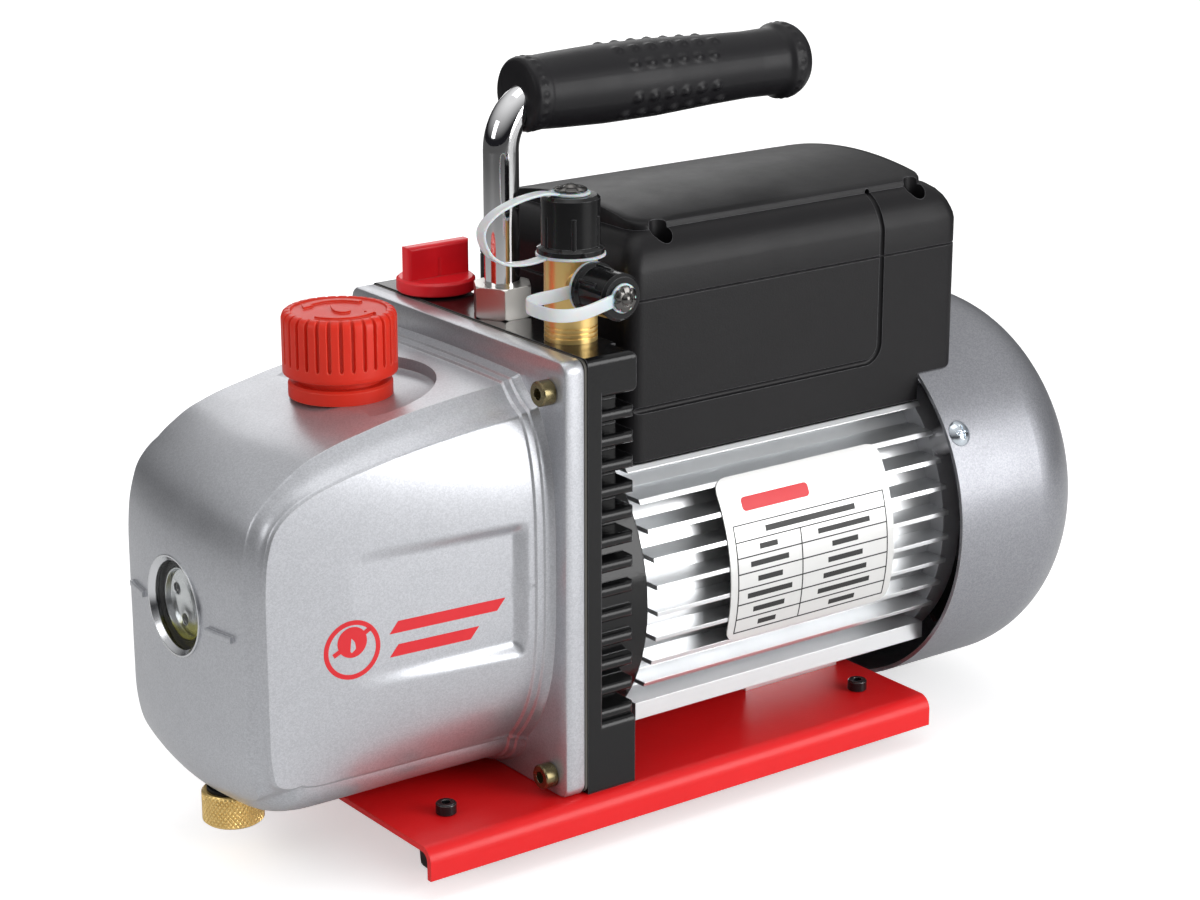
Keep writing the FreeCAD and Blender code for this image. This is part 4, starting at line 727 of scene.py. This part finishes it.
def build_emblem():
    """A plain rotary vane sign: a ring, an off-centre rotor with its vanes, and two stripes."""
    middle, radius = np.array([-72.0, 66.0]), 10.0
    rotor = middle + np.array([0.0, 2.6])
    parts = [panel_print(circle(radius, 64) + middle, circle(radius - 1.6, 64) + middle),
             panel_print(circle(5.2, 48) + rotor)]
    for turn in (0.5, 3.64):
        way = heading(turn)
        across = np.array([-way[1], way[0]]) * 0.8
        parts.append(panel_print([rotor + way * 5.0 + across, rotor + way * 5.0 - across,
                                  rotor + way * 7.6 - across, rotor + way * 7.6 + across]))
    start, slant, half = -57.0, 1.6, 2.0
    for z, length in ((70.5, 40.0), (62.5, 30.0)):
        steps = np.linspace(start, start + length, 12)
        top = [(x + slant, z + half) for x in steps]
        bottom = [(x - slant, z - half) for x in steps[::-1]]
        parts.append(panel_print(top + bottom))
    finished(joined("case_emblem", parts), "red_ink", "pump_base", slot="knob_red")


# ---- oil fill cap ----
CAP_R, CAP_TALL, CAP_RIBS = 19.0, 21.0, 30
CAP_BASE = extent("oil_fill_cap")[1][2] - CAP_TALL
CAP_FACE = CAP_TALL - 0.6    # the sunk face that carries the marks


def cap_radius(r, height, angle):
    """Upright grooves between ribs around the cap's head, with round lower ends."""
    if r < 16.0:
        return r
    along = np.abs((angle * CAP_RIBS / (2 * math.pi)) % 1.0 - 0.5)
    width = 0.17 * math.sqrt(max(0.0, 1 - max(0.0, 5.2 - height) ** 2 / 1.6))
    groove = smooth((width - along) / 0.07) if width > 0.02 else 0.0
    return r - 1.35 * groove * (1.0 if height < CAP_TALL - 0.4 else 0.7)


def raised_mark(outline, height=0.75):
    """A mark that stands on the cap's face."""
    flat = np.asarray(outline, float)
    levels = [np.column_stack([flat, np.full(len(flat), CAP_BASE + CAP_FACE + z)]) for z in (-0.3, height)]
    return loft("mark", levels)


def cap_marks():
    """Two turning arrows around a drop."""
    middle = np.array([FILL_X, 0.0])
    inner, outer, length = 10.6, 12.6, 1.75
    marks = []
    for start in (0.35, 3.49):
        tip = start + length
        angles = np.linspace(start, tip, 20)
        bar = [middle + outer * heading(a) for a in angles]
        bar += [middle + inner * heading(a) for a in angles[::-1]]
        head = [middle + radius * heading(a) for radius, a in ((9.4, tip), (13.8, tip), (11.6, tip + 0.34))]
        marks += [raised_mark(bar), raised_mark(head)]
    drop = [middle + np.array([3.6 * math.sin(a) * math.sin(a / 2) ** 1.3, 5.2 * math.cos(a)])
            for a in full_turn(32)]
    return marks + [raised_mark(drop)]


def build_fill_cap():
    heights = np.concatenate([[0.6, 2.0, 3.6], np.linspace(3.9, 5.6, 8), np.linspace(6.5, 18.6, 7)])
    outline = [(9.4, -15.8), (9.4, -2.6), (14.0, -2.6), (14.0, 0.0), (18.3, 0.0), (18.8, 0.2)]
    outline += [(CAP_R, height) for height in heights]
    outline += [(18.8, 19.4), (18.4, 20.2), (17.6, 20.8), (16.8, CAP_TALL), (15.9, CAP_TALL), (15.6, 20.7),
                (15.4, CAP_FACE), (8.0, CAP_FACE), (0.2, CAP_FACE)]
    cap = turned("fill_cap_body", outline, (FILL_X, 0, CAP_BASE), UP, 600, radius=cap_radius)
    carve(cap, turned("hollow", [(7.0, -17.0), (7.0, 15.0)], (FILL_X, 0, CAP_BASE), UP, 48))
    finished(joined("fill_cap_moulding", [cap] + cap_marks()), "cap_red", "fill_cap", "oil_fill_cap")


# ---- drain plug ----
KNURL_R = 10.4


def knurled(r, height, angle):
    """Two crossed rows of grooves around the plug's head."""
    if r < KNURL_R:
        return r
    sides = [np.abs((angle * 40 / (2 * math.pi) + sign * height / 2.1) % 1.0 - 0.5) for sign in (1, -1)]
    groove = np.maximum(smooth((0.16 - sides[0]) / 0.14), smooth((0.16 - sides[1]) / 0.14))
    return r - 0.38 * groove


def build_drain_plug():
    low = extent("drain_plug")[0][2]
    head = extent("drain_seal")[0][2] - 0.02 - low
    tall = extent("drain_plug")[1][2] - low

    outline = [(8.9, 0.0), (9.4, 0.1), (10.25, 0.8)]
    outline += [(KNURL_R, height) for height in np.linspace(1.0, head - 0.8, 40)]
    outline += [(9.9, head - 0.4), (9.6, head), (6.0, head), (6.0, tall)]
    plug = turned("drain_plug_turning", outline, (DRAIN_X, 0, low), UP, 400, radius=knurled)
    finished(plug, "brass", "drain_screw", "drain_plug")


# ---- handle grip ----
HANDLE_Z = centre("handle_grip")[2]
GRIP_LEFT, GRIP_RIGHT = extent("handle_grip")[0][0], extent("handle_grip")[1][0]
HANDLE_R, HANDLE_BEND = 6.1, 18.0


def grip_profile(station):
    """Radius of the grip: a lip, the waisted body, and a bead at the closed end."""
    from_left = [(0, 11.3), (0.6, 12.1), (1.4, 12.6), (6.6, 12.7), (7.2, 12.45), (16, 12.9), (34, 13.5),
                 (56, 13.4), (80, 12.3), (98, 11.75)]
    from_right = [(-13, 12.0), (-11.4, 12.3), (-9.4, 13.5), (-5, 13.5), (-2.8, 12.6), (-1.2, 11.4), (0, 9.0)]
    shape = [(GRIP_LEFT + x, r) for x, r in from_left] + [(GRIP_RIGHT + x, r) for x, r in from_right]
    return np.interp(station, *zip(*shape))


def pad_bumps(x, angle):
    """Height of the oval bumps in staggered rows on both flanks, and of the dots on the beads."""
    rows = [(64, 65.0, 7), (35, 68.5, 6), (-16, 68.5, 6), (-45, 65.0, 7)]
    rows += [(180 - degree, start, count) for degree, start, count in rows]
    height = np.zeros(len(angle))
    for degree, start, count in rows:
        away = (angle - math.radians(degree) + math.pi) % (2 * math.pi) - math.pi
        for k in range(count):
            reach = np.hypot((x - start - 7.0 * k) / 3.0, away * 13.0 / 2.4)
            height += 1.1 * smooth(1.15 * (1 - reach))
    for start, radius in ((GRIP_LEFT + 3.6, 12.6), (GRIP_RIGHT - 7.0, 13.5)):
        away = (angle * 24 / (2 * math.pi)) % 1.0 - 0.5
        reach = np.hypot((x - start) / 1.5, away * 2 * math.pi / 24 * radius / 1.2)
        height += 0.35 * smooth(1.4 * (1 - reach))
    return height


def handle_path(end_x):
    """The middle line of the handle tube from below the nut to a station along the grip."""
    knee = HANDLE_Z - HANDLE_BEND
    path = [(DECK_X, 0.0, z) for z in np.linspace(140.0, knee, 5)[:-1]]
    for turn in np.linspace(0, math.pi / 2, 20):
        path.append((DECK_X + HANDLE_BEND * (1 - math.cos(turn)), 0.0, knee + HANDLE_BEND * math.sin(turn)))
    return path + [(x, 0.0, HANDLE_Z) for x in np.linspace(DECK_X + HANDLE_BEND, end_x, 4)[1:]]


def build_grip():
    stations = np.concatenate([[GRIP_LEFT, GRIP_LEFT + 0.3, GRIP_LEFT + 0.7],
                               np.arange(GRIP_LEFT + 1.2, GRIP_RIGHT - 1.0, 0.62),
                               [GRIP_RIGHT - 0.8, GRIP_RIGHT - 0.3, GRIP_RIGHT]])
    turn = full_turn(136)
    loops = []
    for x in stations:
        seam = 0.18 * smooth(1 - np.abs(np.abs((turn + math.pi) % (2 * math.pi) - math.pi) - 0.35) / 0.03)
        radius = grip_profile(x) + pad_bumps(x, turn) + seam * (GRIP_LEFT + 8 < x < GRIP_RIGHT - 12)
        loops.append(np.column_stack([np.full(len(turn), x), -radius * np.cos(turn),
                                      HANDLE_Z + radius * np.sin(turn)]))
    grip = loft("grip_sleeve", loops)
    path = handle_path(GRIP_RIGHT - 7.9)
    carve(grip, swept("bore", path, circle(HANDLE_R + 0.02, 48), (0, 1, 0)))
    finished(grip, "rubber_grip", "pump_base", "handle_grip")


# ---- cap tethers ----
def washer(outer, inner, half, base, axis, segments):
    """A flat ring of a tether, with one bevelled edge."""
    outline = [(outer, -half), (outer, half - 0.2), (outer - 0.3, half), (inner, half), (inner, -half)]
    return turned_ring("washer", outline, base, axis, segments)


def strap(path, width, across):
    thick = 0.95
    section = rounded_outline((-width / 2, -thick / 2), (width / 2, thick / 2), thick * 0.4, 3)
    return swept("strap", spline(path, 1.0), section, across)


def fit_tether(port, parts):
    """Joins a tether's parts into one piece that lies between the port and the cap."""
    tether = joined(port + "_tether_strap", parts)
    finished(tether, "strap_plastic", None)
    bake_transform(tether)
    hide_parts(port + "_cap_tether")


def build_top_tether():
    """Milky ring under the top cap, disc on top of it, and the strap between them."""
    low, high = extent("top_port_cap")
    x, y = DECK_X, centre("top_port_cap")[1]
    under, over = low[2] - 0.55, high[2] + 0.5
    path = [(x - 9.0, y, under), (x - 18.0, y, under - 0.9), (x - 27.0, y, under + 0.3),
            (x - 33.0, y, under + 4.6), (x - 35.3, y, under + 11.5), (x - 31.0, y, over - 3.6),
            (x - 22.0, y, over - 0.2), (x - 12.0, y, over + 1.1), (x - 5.0, y, over)]
    parts = [washer(11.6, 8.25, 0.45, (x, y, under), UP, 72), washer(6.5, 1.4, 0.4, (x, y, over), UP, 64),
             strap(path, 4.6, (0, 1, 0))]
    fit_tether("top", parts)


def build_side_tether():
    """The same for the side port: its wide web and loop lie nearly level."""
    low, high = extent("side_port_cap")
    x, z = DECK_X, centre("side_port_cap")[2]
    inner, outer = high[1] + 0.75, low[1] - 0.5
    path = [(x - 7.2, inner, z), (x - 14.0, inner - 0.1, z - 0.4), (x - 22.0, inner - 0.6, z - 0.5),
            (x - 28.0, inner - 3.6, z - 0.3), (x - 29.8, inner - 8.0, z - 0.8),
            (x - 26.0, outer + 1.6, z - 2.0), (x - 17.0, outer - 0.8, z - 2.2), (x - 3.6, outer, z - 0.2)]
    parts = [washer(8.9, 6.8, 0.5, (x, inner, z), OUTWARD, 64),
             washer(4.9, 1.4, 0.4, (x, outer, z), OUTWARD, 48), strap(path, 4.4, UP)]
    fit_tether("side", parts)


# ---- terminal box ----
BOX_LOW, BOX_HIGH = extent("terminal_box")
LID_LOW, LID_HIGH = extent("terminal_box_lid")
SEAM_Z = LID_LOW[2]
# The lid's shoulder, as (inward, up) from the seam between box and lid.
SHOULDERS = ((0.0, 0.5), (0.0, 9.0), (0.35, 10.9), (1.0, 12.7), (1.9, 14.8), (3.2, 17.0), (5.2, 19.2),
             (8.2, 21.2))
GROOVE_X, GROOVE_Z, GROOVE_BEND = BOX_LOW[0] + 111.8, 124.0, 6.5


def groove_cutter(side):
    """The slot that runs along a side of the box, round a corner and up over the lid's shoulder."""
    y = side * BOX_HIGH[1]
    path = [(x, y, GROOVE_Z) for x in np.linspace(BOX_LOW[0] - 2.0, GROOVE_X - GROOVE_BEND, 8)]
    for turn in np.linspace(0, math.pi / 2, 10)[1:]:
        path.append((GROOVE_X - GROOVE_BEND + GROOVE_BEND * math.sin(turn), y,
                     GROOVE_Z + GROOVE_BEND * (1 - math.cos(turn))))
    path += [(GROOVE_X, y, z) for z in np.linspace(GROOVE_Z + GROOVE_BEND, SEAM_Z, 6)[1:]]
    path += [(GROOVE_X, y - side * inward, SEAM_Z + rise) for inward, rise in SHOULDERS[1:]]
    path.append((GROOVE_X, y - side * 12.0, SEAM_Z + 22.6))
    return swept("groove", path, circle(1.15, 16), (0, 1, 0))


def crown(y):
    """Height of the lid's raised plate, highest along the middle."""
    return LID_HIGH[2] - 4.4 * (y / 37.0) ** 2


def lid_screw_posts(radius, low, high):
    posts = []
    for x in (58.5, 173.0):
        for y in (-38.5, 38.5):
            posts.append(turned("post", [(radius, low), (radius, high)], (x, y, 0), UP, 40))
    return joined("posts", posts)


def build_lid():
    low, high = LID_LOW[:2], LID_HIGH[:2]
    loops = [slab_loop(low, high, 0.35, SEAM_Z + 0.05, 5.7, 24)]
    loops += [slab_loop(low, high, inward, SEAM_Z + rise, 6.0 - inward * 0.2, 24)
              for inward, rise in SHOULDERS]
    lip = 8.9
    loops.append(slab_loop(low, high, lip, SEAM_Z + 21.3, 7.0, 24))
    loops.append(slab_loop(low, high, lip + 0.1, lambda y: crown(y) - 0.9, 7.0, 24))
    loops.append(slab_loop(low, high, lip + 0.4, lambda y: crown(y) - 0.3, 7.0, 24))
    for step in (1.1, 4.0, 9.0, 15.0, 21.0, 27.0, 32.0, 35.5):
        loops.append(slab_loop(low, high, lip + step, crown, max(0.6, 7.0 - step * 0.3), 24))
    lid = loft("box_lid", loops)
    hollow = loft("hollow", [slab_loop(low, high, inward + 2.5, SEAM_Z + rise, 4.0)
                             for inward, rise in ((0, -3), (0, 8.4), (1.2, 12.2), (4.0, 15.6), (9.0, 18.6))])
    carve(hollow, lid_screw_posts(5.6, SEAM_Z - 10, SEAM_Z + 30))
    carve(lid, hollow)
    carve(lid, lid_screw_posts(4.0, SEAM_Z + 12.0, SEAM_Z + 40))
    carve(lid, lid_screw_posts(2.0, SEAM_Z - 1, SEAM_Z + 14))
    for side in (-1, 1):
        carve(lid, groove_cutter(side))
    finished(lid, "box_plastic", "pump_base", "terminal_box_lid", sharp=32.0)


def block(low, high):
    """A sharp-edged cutter block."""
    (x0, y0, z0), (x1, y1, z1) = low, high
    corners = [(x0, y0), (x1, y0), (x1, y1), (x0, y1)]
    return loft("block", [[(x, y, z) for x, y in corners] for z in (z0, z1)])


def round_cutter(radius, start):
    """A long cylinder about the shaft."""
    return turned("saddle", [(radius, start), (radius, 230.0)], (0.0, 0.0, SHAFT_Z), AHEAD, 160)


def build_box():
    low, high = BOX_LOW[:2], BOX_HIGH[:2]
    top = SEAM_Z - 0.05
    box = loft("box_base", [slab_loop(low, high, 0.0, BOX_LOW[2], 6.0),
                            slab_loop(low, high, 0.0, top - 0.4, 6.0),
                            slab_loop(low, high, 0.35, top, 5.7)])
    rim_x = extent("fan_cover")[0][0]
    hollow = loft("hollow", [slab_loop(low, high, 2.5, BOX_LOW[2] + 2.5, 4.0),
                             slab_loop(low, high, 2.5, top + 2, 4.0)])
    for radius, start in ((57.1, 0.0), (75.1, rim_x - 3.0)):
        carve(hollow, round_cutter(radius, start))
    carve(box, hollow)
    for radius, start in ((54.3, 0.0), (72.3, rim_x - 0.5)):
        carve(box, round_cutter(radius, start))
    for node in ("power_inlet", "power_switch"):
        inner_low, inner_high = extent(node)
        edge_y, edge_z = (2.4, 2.0) if node == "power_inlet" else (2.0, 1.8)
        carve(box, block((high[0] - 6.0, inner_low[1] + edge_y, inner_low[2] + edge_z),
                         (high[0] + 1.0, inner_high[1] - edge_y, inner_high[2] - edge_z)))
    for side in (-1, 1):
        carve(box, groove_cutter(side))
    finished(box, "box_plastic", "pump_base", "terminal_box", sharp=32.0)


# ---- nameplate ----
PLATE_LOW, PLATE_HIGH = extent("nameplate")
PLATE_R = 64.1
PLATE_START, PLATE_END = [math.asin((edge[2] - SHAFT_Z) / (PLATE_R + 0.5))
                          for edge in (PLATE_LOW, PLATE_HIGH)]
PLATE_WIDE = PLATE_HIGH[0] - PLATE_LOW[0]
PLATE_TALL = PLATE_R * (PLATE_END - PLATE_START)


def on_plate(x, along, lift):
    """A point of the label: x as in the drawing, along the arc from its lower edge, lift outwards."""
    angle = PLATE_START + along / PLATE_R
    radius = PLATE_R + lift
    return (x, -radius * math.cos(angle), SHAFT_Z + radius * math.sin(angle))


def plate_patch(left, right, low, high, corner, under, over, rows=10):
    """A thin bent patch of the label with rounded corners."""
    turn = np.linspace(0, math.pi / 2, 5) if corner else [0.0]
    rounds = [(corner * (1 - math.cos(a)), corner * (1 - math.sin(a))) for a in turn]
    heights = [(low + rise, inset) for rise, inset in rounds]
    heights += [(low + corner + (high - low - 2 * corner) * i / rows, 0.0) for i in range(1, rows)]
    heights += [(high - rise, inset) for rise, inset in reversed(rounds)]
    loops = []
    for level, inset in heights:
        ends = (PLATE_LOW[0] + left + inset, PLATE_LOW[0] + right - inset)
        loops.append([on_plate(ends[0], level, over), on_plate(ends[1], level, over),
                      on_plate(ends[1], level, under), on_plate(ends[0], level, under)])
    return loft("patch", loops)


def plate_print(left, right, low, high, corner=0, rows=2):
    """A printed patch that stands a hair above the foil."""
    return plate_patch(left, right, low, high, corner, 0.3, 0.52, rows)


def plate_words(middle, length, low, high):
    """A plain bar where a word would stand."""
    return plate_print(middle - length / 2, middle + length / 2, low, high)


def plate_table():
    """The printed frame, its rules, and bars in place of words."""
    rule, rows = 0.45, 6
    left, right, low, high = 3.0, PLATE_WIDE - 3.0, 3.0, PLATE_TALL - 17.0
    pitch = (high - low - 6.0) / rows
    split = left + (right - left) * 0.42
    lines = [plate_print(left, right, low, low + rule), plate_print(left, right, high - rule, high),
             plate_print(left, left + rule, low, high, rows=14),
             plate_print(right - rule, right, low, high, rows=14),
             plate_print(split, split + rule, low, low + pitch * rows, rows=14),
             plate_print(left + 14, right - 14, high - 4.3, high - 2.2)]
    for row in range(rows):
        base = low + pitch * row
        lines.append(plate_print(left, right, base + pitch - rule / 2, base + pitch + rule / 2))
        word = 8.0 + 3.0 * (row * 2 % 5)
        value = 12.0 + 4.0 * (row * 3 % 4)
        for middle, length in (((left + split) / 2, word), ((split + right) / 2, value)):
            lines.append(plate_words(middle, length, base + pitch * 0.32, base + pitch * 0.66))
    return joined("nameplate_print", lines)


def build_nameplate():
    """A foil label with a printed table and one coloured bar."""
    foil = plate_patch(0.0, PLATE_WIDE, 0.0, PLATE_TALL, 5.0, 0.0, 0.45, 30)
    foil.name = "nameplate_foil"
    finished(foil, "foil", "pump_base", "nameplate")
    finished(plate_table(), "black_ink", "pump_base", slot="socket_plastic")
    bar = plate_print(9.0, 39.0, PLATE_TALL - 13.0, PLATE_TALL - 8.0, 1.5, 3)
    bar.name = "nameplate_bar"
    finished(bar, "red_ink", "pump_base", slot="knob_red")


# ---- port cap rivets ----
def build_rivet(node, body, axis, brim):
    """A pressed push-on rivet with petals around a low dome."""
    low, high = extent(node)
    axis = np.array(axis, float)
    along = np.abs(axis).argmax()
    base = (low + high) / 2
    tall = high[along] - low[along]
    base[along] = low[along] if axis[along] > 0 else high[along]

    def petals(r, height, angle):
        if r < brim * 0.55:
            return r
        return r * (1 - 0.16 * smooth((np.abs((angle * 6 / (2 * math.pi)) % 1.0 - 0.5) - 0.30) / 0.16))

    head = tall - 2.2
    outline = [(1.2, 0.0), (1.2, head), (brim, head), (brim, head + 0.5), (brim * 0.8, head + 1.1),
               (brim * 0.52, head + 1.3), (brim * 0.46, head + 0.9), (brim * 0.34, head + 1.7),
               (brim * 0.2, head + 2.1), (0.1, head + 2.2)]
    rivet = turned(node + "_pressing", outline, base, axis, 144, radius=petals)
    finished(rivet, "rivet", body, node, slot="nickel")


build_oil_case()
build_well_cup()
build_emblem()
build_fill_cap()
build_drain_plug()
build_grip()
build_top_tether()
build_side_tether()
build_lid()
build_box()
build_nameplate()
build_rivet("top_cap_rivet", "top_cap_seat", UP, 5.6)
build_rivet("side_cap_rivet", "side_cap_seat", OUTWARD, 4.4)


# ---- stage ----
def build_world():
    """Even soft light; reflections see a bright sky overhead and a dim belt above the floor."""
    bpy.context.scene.world = bpy.data.worlds.new("studio")
    world = Shader(bpy.context.scene.world, "ShaderNodeOutputWorld")
    way = world.add("ShaderNodeTexCoord").outputs["Generated"]
    height = world.add("ShaderNodeSeparateXYZ", Vector=way).outputs[2]
    ramp = world.add("ShaderNodeValToRGB", i0=height)
    low, high = ramp.color_ramp.elements
    low.position, low.color = 0.10, (0.015, 0.015, 0.018, 1.0)
    high.position, high.color = 0.85, (1.0, 1.0, 1.0, 1.0)
    even = world.add("ShaderNodeBackground", Color=(1.0, 1.0, 1.0), Strength=0.55).outputs[0]
    sky = world.add("ShaderNodeBackground", Color=ramp.outputs[0], Strength=0.8).outputs[0]
    glossy = world.add("ShaderNodeLightPath").outputs["Is Glossy Ray"]
    mixed = world.add("ShaderNodeMixShader", i0=glossy, i1=even, i2=sky)
    world.set(world.output, "Surface", mixed.outputs[0])


def floor_finish():
    """A pale floor that glows a little to the camera and falls off to dark in reflections."""
    material = bpy.data.materials.new("floor_pale")
    pale = Shader(material)
    place = pale.add("ShaderNodeTexCoord").outputs["Object"]
    tone = pale.mix(pale.noise(place, 300.0), (0.82, 0.82, 0.82), (0.87, 0.87, 0.87))
    apart = pale.add("ShaderNodeVectorMath", {"operation": "LENGTH"}, i0=place).outputs["Value"]
    dim = pale.add("ShaderNodeMapRange", i0=apart, i1=0.42, i2=1.10, i3=0.0, i4=0.94).outputs[0]
    path = pale.add("ShaderNodeLightPath")
    dim = pale.maths("MULTIPLY", dim, path.outputs["Is Glossy Ray"])
    tone = pale.mix(dim, tone, (0.02, 0.02, 0.02))
    glow = pale.maths("MULTIPLY", path.outputs["Is Camera Ray"], 0.50)
    surface = pale.add("ShaderNodeBsdfPrincipled", Base_Color=tone, Roughness=0.6, Emission_Strength=glow,
                       Emission_Color=(1.0, 1.0, 1.0))
    pale.set(pale.output, "Surface", surface.outputs[0])
    return material


def build_floor():
    mesh = bpy.data.meshes.new("floor")
    reach = 6.0
    mesh.from_pydata([(-reach, -reach, 0), (reach, -reach, 0), (reach, reach, 0), (-reach, reach, 0)], [],
                     [(0, 1, 2, 3)])
    mesh.materials.append(floor_finish())
    floor = placed("floor", mesh)
    floor.location.z = cad_box[0].z - 0.0002


def build_lights():
    """Soft lamps that face the pump's middle; each has a place in metres, a size and a power."""
    middle = (cad_box[0] + cad_box[1]) / 2
    lights = {"key": ((0.9, -1.6, 0.55), 1.2, 27.0), "left": ((-1.6, 0.1, 0.8), 0.7, 3.5),
              "back": ((0.9, 1.8, 1.05), 1.2, 6.5), "top": ((0.0, 0.0, 1.9), 1.2, 5.0)}
    for name, (spot, size, power) in lights.items():
        lamp = bpy.data.lights.new(name, "AREA")
        lamp.size, lamp.energy = size, power
        holder = placed(name, lamp)
        holder.location = Vector(spot)
        holder.rotation_euler = (middle - Vector(spot)).to_track_quat("-Z", "Y").to_euler()


def build_camera():
    """The camera looks from the front left and a little above."""
    camera = placed("camera", bpy.data.cameras.new("camera"))
    camera.location = metres((-518.8, -780.7, 401.6))
    turn, tip = math.radians(-36.64), math.radians(90 - 17.46)
    camera.rotation_euler = (tip, 0.0, turn)
    camera.data.lens = 86.28
    camera.data.sensor_width = 36.0
    bpy.context.scene.camera = camera


build_floor()
build_world()
build_lights()
build_camera()
bpy.context.scene.view_settings.view_transform = "Standard"
